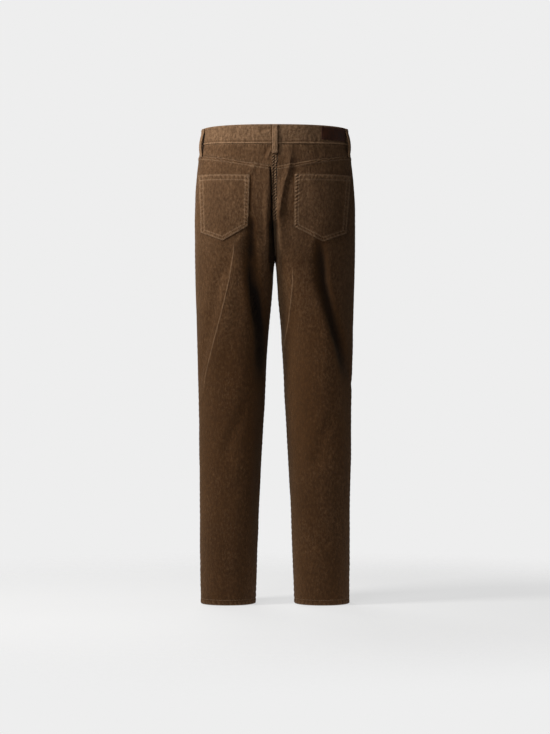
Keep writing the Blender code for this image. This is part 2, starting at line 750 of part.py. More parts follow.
for wearer_side in (LEFT, RIGHT):
    back_panel(wearer_side, corduroy)
    yoke(wearer_side, corduroy)
    front_panel(wearer_side, corduroy)
    pocket_facing(wearer_side, corduroy)
    back_pocket(wearer_side, corduroy)
waistband(corduroy)
waist_patch(leather)
waist_button(metal)

Loop = namedtuple("Loop", "name angle foot_drop")
LOOPS = (
    Loop("belt_loop_centre_back", 90.0, 0.0203),
    Loop("belt_loop_back_left", 18.0, 0.0273),
    Loop("belt_loop_back_right", 162.0, 0.0268),
    Loop("belt_loop_front_left", -52.0, 0.0230),
    Loop("belt_loop_front_right", 232.0, 0.0230),
)
for loop in LOOPS:
    belt_loop(loop.name, loop.angle, loop.foot_drop, corduroy)
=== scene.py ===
"""Looks of the corduroy trousers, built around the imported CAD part.

Metres, +Z up, the same frame as the CAD: the front faces -Y, the back +Y, +X is the wearer's
left, and the origin is the middle of the waist ring. Every cloth piece is rebuilt as a fine
shell on the same form as its solid, with creases, puckers, seam ridges and sewing added.
"""

import json
import math
from collections import namedtuple
from functools import partial

import bmesh
import bpy
import numpy as np
from mathutils import Vector
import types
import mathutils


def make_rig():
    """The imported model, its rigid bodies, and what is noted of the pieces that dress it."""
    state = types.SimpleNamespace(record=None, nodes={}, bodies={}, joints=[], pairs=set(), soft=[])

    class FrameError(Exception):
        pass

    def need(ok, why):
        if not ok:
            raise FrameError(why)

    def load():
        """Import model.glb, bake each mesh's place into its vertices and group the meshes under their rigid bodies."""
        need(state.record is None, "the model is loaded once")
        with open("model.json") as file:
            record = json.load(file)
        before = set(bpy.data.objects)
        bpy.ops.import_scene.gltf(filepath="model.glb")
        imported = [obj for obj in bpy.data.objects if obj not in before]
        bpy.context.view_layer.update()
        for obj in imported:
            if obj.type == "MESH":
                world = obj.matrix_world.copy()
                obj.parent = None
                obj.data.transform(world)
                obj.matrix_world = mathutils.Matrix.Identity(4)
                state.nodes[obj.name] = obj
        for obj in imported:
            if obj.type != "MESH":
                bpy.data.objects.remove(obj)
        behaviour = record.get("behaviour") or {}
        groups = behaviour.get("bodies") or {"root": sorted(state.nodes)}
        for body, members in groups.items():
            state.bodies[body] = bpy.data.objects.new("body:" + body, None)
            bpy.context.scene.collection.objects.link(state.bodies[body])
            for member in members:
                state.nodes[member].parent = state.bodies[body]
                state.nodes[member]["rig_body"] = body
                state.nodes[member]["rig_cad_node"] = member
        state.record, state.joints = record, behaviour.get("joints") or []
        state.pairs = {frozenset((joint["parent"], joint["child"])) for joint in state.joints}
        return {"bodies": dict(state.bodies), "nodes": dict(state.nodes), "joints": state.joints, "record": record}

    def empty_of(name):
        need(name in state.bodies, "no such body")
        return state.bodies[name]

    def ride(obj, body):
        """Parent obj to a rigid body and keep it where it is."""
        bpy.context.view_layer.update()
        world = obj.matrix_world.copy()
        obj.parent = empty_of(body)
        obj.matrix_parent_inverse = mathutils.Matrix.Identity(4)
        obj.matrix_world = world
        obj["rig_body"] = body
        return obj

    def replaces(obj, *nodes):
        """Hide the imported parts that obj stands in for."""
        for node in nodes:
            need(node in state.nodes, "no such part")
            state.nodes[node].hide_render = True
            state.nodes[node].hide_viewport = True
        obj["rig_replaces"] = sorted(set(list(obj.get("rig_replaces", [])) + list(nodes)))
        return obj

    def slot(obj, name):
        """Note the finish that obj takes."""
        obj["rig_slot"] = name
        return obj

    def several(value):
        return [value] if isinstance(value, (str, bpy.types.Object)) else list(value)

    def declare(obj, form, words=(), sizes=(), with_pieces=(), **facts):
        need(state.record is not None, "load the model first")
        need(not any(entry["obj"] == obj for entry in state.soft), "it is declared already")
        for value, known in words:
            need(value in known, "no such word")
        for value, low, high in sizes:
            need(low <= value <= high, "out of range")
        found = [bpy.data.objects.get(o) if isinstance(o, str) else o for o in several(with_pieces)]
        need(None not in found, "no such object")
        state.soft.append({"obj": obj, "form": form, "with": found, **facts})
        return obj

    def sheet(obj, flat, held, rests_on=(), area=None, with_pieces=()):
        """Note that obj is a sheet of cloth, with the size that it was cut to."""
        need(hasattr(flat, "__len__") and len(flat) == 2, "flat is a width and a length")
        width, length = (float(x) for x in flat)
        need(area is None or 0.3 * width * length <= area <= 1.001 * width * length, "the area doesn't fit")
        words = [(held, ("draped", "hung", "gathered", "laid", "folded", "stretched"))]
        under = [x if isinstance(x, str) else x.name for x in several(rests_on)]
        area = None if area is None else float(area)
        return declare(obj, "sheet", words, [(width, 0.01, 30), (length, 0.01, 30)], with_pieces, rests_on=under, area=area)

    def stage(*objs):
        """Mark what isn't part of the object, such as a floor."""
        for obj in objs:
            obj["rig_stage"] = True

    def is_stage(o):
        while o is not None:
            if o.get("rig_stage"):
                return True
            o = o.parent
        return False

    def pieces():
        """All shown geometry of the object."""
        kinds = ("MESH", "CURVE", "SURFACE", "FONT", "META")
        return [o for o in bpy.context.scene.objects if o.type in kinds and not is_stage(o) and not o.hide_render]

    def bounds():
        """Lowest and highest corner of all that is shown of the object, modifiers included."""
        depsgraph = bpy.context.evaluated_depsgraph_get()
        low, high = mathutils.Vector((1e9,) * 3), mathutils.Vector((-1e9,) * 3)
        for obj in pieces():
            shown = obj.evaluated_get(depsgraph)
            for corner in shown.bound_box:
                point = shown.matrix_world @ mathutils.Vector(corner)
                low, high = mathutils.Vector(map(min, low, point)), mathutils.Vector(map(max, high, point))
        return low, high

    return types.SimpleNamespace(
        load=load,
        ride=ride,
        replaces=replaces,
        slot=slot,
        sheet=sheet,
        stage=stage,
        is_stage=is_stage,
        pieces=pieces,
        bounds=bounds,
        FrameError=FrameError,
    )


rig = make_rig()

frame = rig.load()
CAD_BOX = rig.bounds()
ROOT = "root"

# ---------------------------------------------------------------- the form, as in the CAD

CLOTH = 0.0015
DOUBLE_CLOTH = 0.0030
LEATHER = 0.0012
SEAM_GAP = 0.0003
LAYER_GAP = 0.0003
MITRE_LIMIT = 0.25

CROTCH_Z = -0.2680
HEM_Z = -1.0150
HEM_DEPTH = 0.0130
RISE_TOP_Z = -0.0500
CROTCH_ARCH = 0.0120
CROTCH_GAP = 0.0033
MM = 0.001  # a millimetre in metres

LEFT, RIGHT = 1, -1
BACK, FRONT = 1, -1
SIDE_NAME = {LEFT: "left", RIGHT: "right"}

Section = namedtuple("Section", "z outer crown inner centre back front roundness")
SECTIONS = (
    Section(0.030, 0.1608, 0.0000, 0.0000, 0.000, 0.1105, 0.1035, 2.20),
    Section(0.000, 0.1617, 0.0000, 0.0000, 0.000, 0.1120, 0.1060, 2.20),
    Section(-0.040, 0.1672, 0.0000, 0.0000, 0.000, 0.1160, 0.1090, 2.22),
    Section(-0.080, 0.1718, 0.0060, 0.0000, 0.001, 0.1195, 0.1105, 2.26),
    Section(-0.140, 0.1757, 0.0290, 0.0000, 0.002, 0.1240, 0.1100, 2.32),
    Section(-0.200, 0.1764, 0.0540, 0.0000, 0.002, 0.1230, 0.1060, 2.34),
    Section(-0.240, 0.1763, 0.0705, 0.0000, 0.002, 0.1175, 0.1030, 2.32),
    Section(CROTCH_Z, 0.1760, 0.0800, 0.0000, 0.001, 0.1120, 0.1005, 2.30),
    Section(-0.306, 0.1750, 0.0880, 0.0030, 0.000, 0.1055, 0.0970, 2.26),
    Section(-0.372, 0.1729, 0.0917, 0.0075, 0.000, 0.0985, 0.0915, 2.22),
    Section(-0.438, 0.1712, 0.0928, 0.0113, 0.001, 0.0915, 0.0860, 2.18),
    Section(-0.504, 0.1695, 0.0941, 0.0154, 0.002, 0.0855, 0.0810, 2.16),
    Section(-0.570, 0.1678, 0.0950, 0.0189, 0.003, 0.0800, 0.0765, 2.14),
    Section(-0.669, 0.1667, 0.0973, 0.0247, 0.005, 0.0735, 0.0715, 2.12),
    Section(-0.768, 0.1654, 0.0992, 0.0297, 0.007, 0.0700, 0.0665, 2.10),
    Section(-0.900, 0.1643, 0.1016, 0.0355, 0.008, 0.0650, 0.0615, 2.10),
    Section(HEM_Z, 0.1626, 0.1031, 0.0403, 0.007, 0.0600, 0.0580, 2.10),
)

Cleft = namedtuple("Cleft", "z depth half_width")
CLEFTS = (
    Cleft(-0.050, 0.000, 0.009),
    Cleft(-0.100, 0.004, 0.011),
    Cleft(-0.160, 0.010, 0.014),
    Cleft(-0.210, 0.016, 0.016),
    Cleft(-0.245, 0.014, 0.016),
    Cleft(CROTCH_Z, 0.000, 0.012),
)

# Angle in degrees from the side seam (back positive, front negative) and height.
Fold = namedtuple("Fold", "side half_width depth path")
FOLDS = (
    Fold(LEFT, 0.013, 0.0060, ((91, -0.212), (102, -0.245), (126, -0.353), (140, -0.410))),
    Fold(LEFT, 0.010, -0.0022, ((88, -0.270), (77, -0.357), (63, -0.437), (23, -0.577))),
    Fold(LEFT, 0.016, 0.0035, ((78, -0.262), (66, -0.340), (50, -0.425), (20, -0.540))),
    Fold(LEFT, 0.020, 0.0030, ((120, -0.560), (95, -0.640), (80, -0.700))),
    Fold(RIGHT, 0.014, 0.0062, ((84, -0.242), (86, -0.314), (75, -0.378), (35, -0.493))),
    Fold(RIGHT, 0.012, 0.0040, ((35, -0.493), (10, -0.525), (-18, -0.560))),
    Fold(RIGHT, 0.011, -0.0022, ((128, -0.300), (130, -0.355), (142, -0.405), (158, -0.454))),
    Fold(RIGHT, 0.018, 0.0028, ((60, -0.590), (85, -0.650), (100, -0.720))),
    Fold(LEFT, 0.012, 0.0040, ((-120, -0.250), (-92, -0.226), (-62, -0.216))),
    Fold(LEFT, 0.013, 0.0035, ((-128, -0.292), (-98, -0.285), (-66, -0.300))),
    Fold(RIGHT, 0.012, 0.0038, ((-118, -0.246), (-88, -0.218), (-58, -0.206))),
    Fold(RIGHT, 0.013, 0.0040, ((-130, -0.300), (-102, -0.296), (-72, -0.316))),
    Fold(LEFT, 0.020, 0.0030, ((-70, -0.560), (-95, -0.600), (-120, -0.590))),
    Fold(RIGHT, 0.020, 0.0030, ((-65, -0.600), (-90, -0.630), (-118, -0.615))),
)
FOLD_RADIUS = 0.085
FOLD_RUN_OUT = 0.2
FOLD_END_SHARE = 0.15
FOLD_STEEPNESS = 1.6
SEAM_CALM = 14.0
SEAM_CALM_SHARE = 0.65
SEAM_HOLD_WIDTH = 0.030
SEAM_HOLD_DROP = 0.030

LEAN = 0.0045
LEAN_Z = -0.150
LEAN_SPAN = 0.075
LEAN_DEPTH = 0.050

BAND_TOP = (0.0215, 0.0073, -0.0033)
BAND_FOOT = (-0.0140, 0.0060, -0.0092)
BAND_PROUD = 0.0009
BAND_LAP = 0.0017
BAND_OVER_END = -97.0
BAND_UNDER_END = 279.0
BAND_LAP_RAMP = 12.0

YOKE_POINT_Z = -0.0655
YOKE_CLIMB = 0.174

POCKET_MOUTH = 0.46
SCOOP_DEPTH = 0.075
FACING_REACH = 0.55
FACING_FOOT_Z = -0.112
FACING_DROP = 0.0006

FLY_LAP = 0.0050
FLY_LIFT = 0.0019
FLY_COLUMNS = (0.90, 0.97)
FLY_EDGE_Z = (-0.158, -0.176)
FLY_LIFT_Z = (-0.182, -0.215)

LOOP_WIDTH = 0.0120
LOOP_TOP_DROP = 0.0010
LOOP_STAND = 0.0045
CENTRE_LOOP_STAND = 0.0024  # the cloth loop sags a little nearer the band than its solid
LOOP_FOOT = 0.0080
LOOP_SQUARENESS = 0.8

Loop = namedtuple("Loop", "name angle foot_drop")
LOOPS = (
    Loop("belt_loop_centre_back", 90.0, 0.0203),
    Loop("belt_loop_back_left", 18.0, 0.0273),
    Loop("belt_loop_back_right", 162.0, 0.0268),
    Loop("belt_loop_front_left", -52.0, 0.0230),
    Loop("belt_loop_front_right", 232.0, 0.0230),
)

# Corners of each back pocket, as x and z, from the upper inner corner outwards and round.
BACK_POCKETS = {
    LEFT: (
        (0.0539, -0.0838), (0.1650, -0.0793), (0.1607, -0.2065), (0.1126, -0.2256),
        (0.0578, -0.1942),
    ),
    RIGHT: (
        (-0.0421, -0.0828), (-0.1650, -0.0810), (-0.1535, -0.2090), (-0.1031, -0.2280),
        (-0.0408, -0.1961),
    ),
}
PATCH_X = (-0.1515, -0.0995)
PATCH_Z = (-0.0062, 0.0215)
BUTTON_RADIUS = 0.0085

RISE_SHARPNESS = {BACK: 1.6, FRONT: 2.2}
SPREAD_FOOT_Z = -0.340
SPREAD_SHARPNESS = 10
SNUG_ROUNDNESS = 3.6
SNUG_TOP_Z = -0.190
SNUG_FOOT_Z = -0.390
HALVINGS = 26


def smoothstep(value, low, high):
    share = np.clip((value - low) / (high - low), 0.0, 1.0)
    return share * share * (3 - 2 * share)


def falling(value, low, high):
    """1 up to low, falling softly to 0 at high."""
    return 1 - smoothstep(value, low, high)


def bell(away, width):
    """1 in the middle, falling off softly on both sides."""
    return np.exp(-((away / width) ** 2))


def halve(low, high, beyond):
    """The place between low and high from which beyond(place) holds."""
    for _ in range(HALVINGS):
        middle = (low + high) / 2
        over = beyond(middle)
        high = np.where(over, middle, high)
        low = np.where(over, low, middle)
    return (low + high) / 2


def column_of(rows, name):
    return np.array([getattr(row, name) for row in rows])


def smooth_table(rows, name):
    """A function of height through a table's values, without corners at its rows."""
    heights = column_of(rows, "z")[::-1]
    values = column_of(rows, name)[::-1]
    slopes = np.gradient(values, heights)

    def read(z):
        z = np.clip(z, heights[0], heights[-1])
        low = np.minimum(np.searchsorted(heights, z, side="right") - 1, len(heights) - 2)
        step = heights[low + 1] - heights[low]
        t = (z - heights[low]) / step
        start = (1 + 2 * t) * (1 - t) ** 2 * values[low] + t * (1 - t) ** 2 * step * slopes[low]
        end = t * t * (3 - 2 * t) * values[low + 1] + t * t * (t - 1) * step * slopes[low + 1]
        return start + end

    return read


OUTER, CROWN, INNER, CENTRE, ROUNDNESS = (
    smooth_table(SECTIONS, name) for name in ("outer", "crown", "inner", "centre", "roundness")
)
DEPTH = {BACK: smooth_table(SECTIONS, "back"), FRONT: smooth_table(SECTIONS, "front")}
CLEFT_DEPTH = smooth_table(CLEFTS, "depth")
CLEFT_WIDTH = smooth_table(CLEFTS, "half_width")


def inner_roundness(z):
    """Roundness of the inner half, fuller between the thighs."""
    snug = smoothstep(z, SNUG_FOOT_Z, CROTCH_Z) * falling(z, CROTCH_Z, SNUG_TOP_Z)
    return ROUNDNESS(z) + (SNUG_ROUNDNESS - ROUNDNESS(z)) * snug


def end_angle(face, z):
    """Angle at which a panel ends: at the inseam, or at the centre seam above the crotch."""
    share = np.clip((z - CROTCH_Z) / (RISE_TOP_Z - CROTCH_Z), 0.0, 1.0)
    turn = np.pi / 2 * (1 - (1 - np.sqrt(share)) ** RISE_SHARPNESS[face])
    return np.pi - np.arcsin(np.sin(turn) ** (inner_roundness(z) / ROUNDNESS(z)))


def column_angle(share, z, edge):
    """Angle of a panel's columns, spread evenly and then drawn in to the end angle."""
    opened = np.clip((RISE_TOP_Z - z) / (RISE_TOP_Z - SPREAD_FOOT_Z), 0.0, 1.0)
    spread = np.pi / 2 * (1 + opened * opened)
    return share * spread + share ** SPREAD_SHARPNESS * (edge - spread)


def inner_reach(z):
    """Distance of the inmost cloth from the middle plane."""
    below = np.maximum(0.0, CROTCH_Z - z)
    arch = np.sqrt(1 - (1 - np.minimum(1.0, below / CROTCH_ARCH)) ** 2)
    return SEAM_GAP / 2 + CROTCH_GAP * arch + np.maximum(0.0, INNER(z))


def distance_to_path(across, along, path):
    """Distance of each place from a path, how far along it lies (0 to 1), and on which side."""
    nearest = np.full(across.shape, 1.0)
    share_along = np.zeros(across.shape)
    hand = np.ones(across.shape)
    for index in range(len(path) - 1):
        (x0, z0), (x1, z1) = path[index], path[index + 1]
        run_x, run_z = x1 - x0, z1 - z0
        share = ((across - x0) * run_x + (along - z0) * run_z) / (run_x * run_x + run_z * run_z)
        share = np.clip(share, 0.0, 1.0)
        gap = np.hypot(across - x0 - share * run_x, along - z0 - share * run_z)
        closer = gap < nearest
        nearest = np.where(closer, gap, nearest)
        share_along = np.where(closer, (index + share) / (len(path) - 1), share_along)
        turn = (across - x0) * run_z - (along - z0) * run_x
        hand = np.where(closer, np.sign(turn), hand)
    return nearest, share_along, hand


def run_out(along, share=FOLD_RUN_OUT):
    """1 along a path, dying out over a share of it at both ends."""
    return smoothstep(along, 0.0, share) * falling(along, 1 - share, 1.0)


def fold_depth(side, face, angle, z, edge):
    """Depth of the soft main folds, calmer beside the seams."""
    depth = np.zeros(angle.shape)
    spot = np.radians(face * angle) * FOLD_RADIUS
    for fold in FOLDS:
        if fold.side != side:
            continue
        path = [(math.radians(place[0]) * FOLD_RADIUS, place[1]) for place in fold.path]
        gap, along, _ = distance_to_path(spot, z, path)
        fade = FOLD_END_SHARE + (1 - FOLD_END_SHARE) * run_out(along)
        depth += fold.depth * fade * np.exp(-((gap / fold.half_width) ** 2) * FOLD_STEEPNESS)
    calm = smoothstep(np.minimum(angle, np.degrees(edge) - angle), 0.0, SEAM_CALM)
    return depth * (1 - SEAM_CALM_SHARE + SEAM_CALM_SHARE * calm)


def form_points(side, face, share, z, lift=0.0, lap=0.0):
    """Points of the form for shares (0 side seam, 1 centre seam or inseam) and heights."""
    share, z, lift, lap = np.broadcast_arrays(
        np.asarray(share, float), np.asarray(z, float), lift, lap
    )
    edge = end_angle(face, z)
    angle = column_angle(share, z, edge)
    outer_half = angle <= np.pi / 2
    power = 2 / np.where(outer_half, ROUNDNESS(z), inner_roundness(z))
    reach = inner_reach(z)
    crown = np.maximum(CROWN(z), reach)
    turned = np.abs(np.cos(angle))
    x_outer = crown + (OUTER(z) - crown) * turned ** power
    x_inner = crown - (crown - reach) * (turned / np.abs(np.cos(edge))) ** power
    x = np.where(outer_half, x_outer, x_inner)
    depth = DEPTH[face](z) * np.abs(np.sin(angle)) ** power
    press = fold_depth(side, face, np.degrees(angle), z, edge) - lift
    near_seam = falling(x, reach, SEAM_HOLD_WIDTH)
    held = smoothstep(z, CROTCH_Z - SEAM_HOLD_DROP, CROTCH_Z) * near_seam
    x = x - press * np.cos(angle) * (1 - held)
    depth = depth - press * np.sin(angle)
    if face == BACK:
        groove = np.maximum(0.0, 1 - x / CLEFT_WIDTH(z))
        above = z > CROTCH_Z
        depth = depth - np.where(above, np.maximum(0.0, CLEFT_DEPTH(z)) * groove * groove, 0.0)
    y = CENTRE(z) + face * (depth + SEAM_GAP / 2)
    return leaned(np.stack([side * (x - lap), y, z], axis=-1))


def leaned(points):
    """The seat's slight lean to one side, round the middle of the back."""
    x, y, z = points[..., 0], points[..., 1], points[..., 2]
    middle = np.maximum(0.0, 1 - (x / OUTER(z)) ** 2) ** 2
    shift = LEAN * bell(z - LEAN_Z, LEAN_SPAN) * middle * smoothstep(y, 0.0, LEAN_DEPTH)
    return np.stack([x + shift, y, z], axis=-1)


def waist_place(face, share):
    return face * np.abs(np.sin(share * np.pi / 2)) ** (2 / ROUNDNESS(0.0))


def edge_height(curve, place):
    """Height of the band's edge, from -1 at the centre front to 1 at the centre back."""
    middle, slope, bend = curve
    return middle + slope * place + bend * place * place


def band_foot(face, share):
    return edge_height(BAND_FOOT, waist_place(face, share))


def yoke_seam(share):
    """Height of the V-shaped seam between yoke and back panel."""
    power = 2 / ROUNDNESS(YOKE_POINT_Z)
    across = OUTER(YOKE_POINT_Z) * np.abs(np.cos(share * np.pi / 2)) ** power
    return YOKE_POINT_Z + YOKE_CLIMB * across


def scoop_height(share):
    """Height of the front panel's top: the band's foot, scooped out at the pocket."""
    drop = np.sqrt(np.maximum(0.0, 1 - np.minimum(1.0, share / POCKET_MOUTH) ** 2))
    return band_foot(FRONT, share) - SCOOP_DEPTH * drop


def ring_points(angle, z, lift=0.0):
    """Points round the waist: angle 0 is the wearer's left side, 90 the centre back."""
    angle, z, lift = np.broadcast_arrays(np.asarray(angle, float), np.asarray(z, float), lift)
    turn = (angle + 180) % 360 - 180
    share = np.minimum(np.abs(turn), 180 - np.abs(turn)) / 90
    points = np.zeros(angle.shape + (3,))
    for side in (LEFT, RIGHT):
        for face in (BACK, FRONT):
            here = ((np.abs(turn) <= 90) == (side == LEFT)) & ((turn >= 0) == (face == BACK))
            if here.any():
                points[here] = form_points(side, face, share[here], z[here], lift[here])
    return points


def ring_edge(curve, angle):
    wave = np.sin(np.radians(angle))
    return edge_height(curve, np.sign(wave) * np.abs(wave) ** (2 / ROUNDNESS(0.0)))


def band_edges(angle):
    """Heights of the band's top edge and of its foot, just above the seam."""
    return ring_edge(BAND_TOP, angle), ring_edge(BAND_FOOT, angle) + SEAM_GAP / 2


def band_lap(angle):
    """How far the band's two ends stand out and in where they lap."""
    over = smoothstep(-angle, 90 - 2 * BAND_LAP_RAMP, 90 - BAND_LAP_RAMP)
    under = smoothstep(angle, 270 - 2 * BAND_LAP_RAMP, 270 - BAND_LAP_RAMP)
    return BAND_LAP * (over - under)


# ---------------------------------------------------------------- noise and creases


def lattice_noise(seed, x, y, size_x, size_y):
    """Smooth noise from -1 to 1 with blobs of the given sizes, the same each run."""
    cells = 97
    table = np.random.default_rng(seed).uniform(-1, 1, (cells, cells))
    u, v = x / size_x + 31.7, y / size_y + 17.3
    i, j = np.floor(u).astype(int), np.floor(v).astype(int)
    a, b = u - i, v - j
    a, b = a * a * (3 - 2 * a), b * b * (3 - 2 * b)
    i, j, i1, j1 = i % cells, j % cells, (i + 1) % cells, (j + 1) % cells
    low = table[i, j] * (1 - a) + table[i1, j] * a
    high = table[i, j1] * (1 - a) + table[i1, j1] * a
    return low * (1 - b) + high * b


Crease = namedtuple("Crease", "height width_left width_right tone path")


def path_mm(*numbers):
    """A path of (x, z) in metres from x and z in turn, in millimetres."""
    return tuple((x * MM, z * MM) for x, z in zip(numbers[::2], numbers[1::2]))


def crease(height, width_left, width_right, tone, *path):
    """A crease from millimetres. Height is outward: a ridge is positive, a trough negative. The
    widths are to the left and right of the path as it runs down, seen from the wearer's back.
    Painted shading is painted light where positive and painted shade where negative, laid into the cloth's colour
    along the crease. The path is x and z in turn."""
    return Crease(height * MM, width_left * MM, width_right * MM, tone, path_mm(*path))


CREASES = {
    BACK: (
        # the left seat's edge, which drops steeply into the cleft
        crease(3.4, 12, 1.9, 0.03, 13.8, -52, 12.4, -85, 11.7, -120, 11.3, -160, 11.7, -200,
            13.2, -240, 15, -285),
        # the cleft: a thin line of painted shade under the yoke that opens to a slot painted black lower down, with
        # painted light on the left seat's edge beside it
        crease(-4.5, 1.1, 1.3, -2.2, 10.4, -62, 9.6, -72, 8.6, -86, 7.8, -110, 7.5, -140,
            7.4, -180),
        crease(-3.6, 2.2, 1.8, -2.4, 7.4, -150, 7, -178, 6.4, -200, 6.2, -215),
        crease(-8, 3.8, 4, 0.0, 6.2, -175, 5.6, -215, 5.2, -258),
        crease(0, 4.8, 4.6, -14.0, 6.8, -178, 5.8, -200, 4.8, -225, 4.6, -262, 5.6, -302),
        crease(0, 6, 2.4, 0.14, 15, -180, 15.5, -230, 16.5, -262, 17.5, -300),
        # painted shadow in dark lines beside the centre back loop, and painted shade right of the stitched centre seam
        crease(-0.4, 1, 1, -0.7, -5.6, 34, -5.6, 10, -6.4, -18, -6.2, -45),
        crease(0, 1, 1, -0.8, 7.5, 34, 7.4, 0, 7.6, -34),
        crease(-0.6, 1.1, 1.2, -1.5, -6.4, -10, -5.8, -36, -5.4, -54, -3.6, -61, -3.3, -100,
            -3.1, -165),
        # the right seat's crest, which runs down to the centre seam, and the valley beyond it
        crease(3.6, 7, 3.4, 0.06, -35, -30, -32.5, -58.5, -29.2, -73.7, -20.2, -103.8,
            -13.8, -138, -10.4, -164, -9, -190),
        crease(4.6, 5, 12, 0.05, -8, -120, -8.5, -165, -10, -200, -13, -235, -14, -285),
        crease(-1.6, 4, 8, 0.0, -44, -52, -40.5, -73.6, -33, -103.8, -26.8, -138.2, -22.4, -164,
            -19, -200),
        # painted light, with little or no relief: beside the cleft and on the stitched seam where the left seat shades
        # them, down the right leg's inner edge, and on the band and yoke right of the centre loop, in its shadow
        crease(0, 2.2, 3.4, 0.28, -6.4, -78, -6.4, -120, -6.6, -165),
        crease(1.2, 2, 2.2, 0.6, 4.4, -58, 4.2, -110, 3.6, -150, 3, -196),
        crease(0, 3.6, 6, 0.56, -4.5, -190, -5, -225, -5.6, -262, -6.6, -310),
        crease(0, 6, 8, 0.2, -8, -262, -10.5, -340, -15, -420, -19, -500),
        crease(0, 4.5, 8, 0.32, -12, 26, -12, 0, -11.8, -24, -11, -50),
        # left leg: the soft trough below the pocket's inner corner, darkened with painted shade, then its lit edge
        crease(-5, 6, 8, -0.66, 50, -170, 51.5, -215, 51.5, -275),
        crease(-10.2, 11.5, 9.5, -0.84, 51, -215, 51, -268, 49.5, -310, 44, -345, 38.5, -379,
            32.5, -414, 30, -448, 31, -500, 35, -560),
        crease(-2.2, 8.5, 8.5, -0.55, 36.5, -285, 35, -345, 29.5, -390, 23.5, -430, 22.5, -480,
            25, -540),
        crease(2.6, 16, 8, 0.0, 70, -200, 68, -260, 60, -345, 48, -430),
        crease(-3, 14, 8, -0.14, 26, -430, 29, -540, 34, -660, 38, -780, 42, -960),
        crease(2, 5, 5, 0.05, 20.5, -80, 19.5, -150, 20, -240, 23, -330),
        # the cloth stays full beyond the thin crease before it falls away
        crease(2.6, 13, 13, 0.03, 83, -195, 84, -246, 93, -330, 106, -400, 125, -470, 142, -540),
        crease(1.2, 5, 2.4, 0.0, -33, -280, -35.8, -330, -35.5, -360, -29.7, -400, -21.9, -437,
            -19, -470),
        # broad painted light and shade with no relief, which evens out the shading across the lower legs and the right
        # seat
        crease(0, 30, 30, 0.05, -122, -440, -124, -620, -123, -980),
        crease(0, 26, 26, -0.035, -38, -330, -50, -480, -56, -760),
        crease(0, 30, 30, 0.06, -56, -60, -62, -150, -56, -260),
        crease(0, 20, 20, -0.1, -148, -60, -150, -150, -148, -250),
        # right leg: the broad diagonal trough from the pocket to the side, darkened with painted shade
        crease(-7.8, 9, 12, -0.74, -95, -200, -96, -243, -102, -314, -117.5, -379, -136.5, -441,
            -150, -500, -159, -550),
        crease(2.2, 13, 10, 0.0, -76, -235, -85, -310, -102, -375, -120, -430),
        # drag lines at the centre back loop, on the band and on the yoke, with painted shade in the troughs and
        # painted light on the ridges
        crease(-1.1, 3, 3, -0.15, 6, 19.5, 18, 14, 38, 8),
        crease(1, 3, 3.5, 0.12, 6, 12, 20, 6, 42, 3),
        crease(-1.3, 4.5, 4, -0.08, 8, -19, 17, -32, 24, -46),
        crease(1.6, 4, 4, 0.1, 7.5, -25, 14, -40, 18, -56),
        # yoke and seat: the soft upright ridge right of the centre, and lines from the pockets, with a little painted
        # light on the ridges and painted shade in a trough
        crease(2.2, 8, 10, 0.05, -25, -13, -29, -35, -35, -60),
        crease(-1.2, 5, 6, 0.0, -110, -18, -140, -26, -164, -27),
        crease(1.2, 5, 5, 0.05, 40, -56, 50, -70, 56, -88),
        crease(-1.4, 4, 5, -0.05, 33, -60, 42, -74, 48, -90),
        # the shadowed dip beside the pockets' inner edges
        crease(-1.2, 1.2, 3, -0.4, 52.6, -76, 53, -100, 54.5, -150, 56.2, -198),
        crease(-1, 3, 1.2, -0.2, -41, -80, -40.5, -100, -39.8, -150, -39.2, -200),
        # right leg and left leg, lower down: slack above the hems
        crease(-1.6, 12, 16, 0.0, 56, -700, 82, -760, 118, -800),
        crease(-1.5, 14, 12, 0.0, -138, -640, -105, -700, -70, -720),
        crease(1.4, 10, 16, 0.0, 70, -905, 102, -925, 138, -918),
        crease(1.3, 12, 14, 0.0, -140, -880, -105, -905, -68, -898),
    ),
    FRONT: (
        # the front: whiskers from the fly to the hips, and slack at the knees, with painted shade in the troughs and
        # painted light on the ridges
        crease(-2.4, 6, 10, -0.12, 18, -205, 56, -180, 104, -176),
        crease(1.8, 7, 8, 0.1, 24, -222, 62, -200, 112, -200),
        crease(-2.2, 7, 10, -0.12, -18, -212, -60, -190, -112, -184),
        crease(1.8, 7, 8, 0.1, -23, -230, -66, -212, -116, -210),
        crease(-2.4, 8, 12, -0.1, 20, -262, 56, -252, 100, -272),
        crease(-2.2, 8, 12, -0.1, -19, -268, -54, -262, -98, -290),
        crease(-2.4, 12, 14, -0.05, 40, -560, 88, -585, 142, -560),
        crease(-2.2, 12, 14, -0.05, -142, -580, -90, -610, -44, -590),
        crease(1.8, 12, 14, 0.04, 50, -620, 92, -640, 140, -620),
        crease(1.8, 12, 14, 0.04, -140, -640, -92, -665, -50, -650),
        crease(1.6, 10, 16, 0.0, 62, -900, 98, -915, 136, -905),
        crease(1.6, 12, 14, 0.0, -136, -890, -100, -912, -64, -900),
    ),
}
CREASE_RUN_OUT = 0.25  # share of its path over which a crease dies out at each end
SIDE_FADE = (0.02, 0.10)  # shares next to the side seam over which these creases come in

# Thin sharp creases on the back, finer than the mesh. The material draws them as a bump and a painted highlight along
# the ridge, from the signed distance at every point, as far as the given reach.
THIN_CREASES = (
    path_mm(87.2, -222, 88.8, -250, 99, -310, 109.8, -357, 131.4, -437, 150.5, -512, 160.6, -577),
    path_mm(-37.8, -272, -38.6, -312, -35, -350, -29, -400, -21.6, -437, -18, -472),
)
THIN_CREASE_RUN_OUT = 0.18
THIN_CREASE_REACH = (0.006, 0.010)
FAR = 0.05


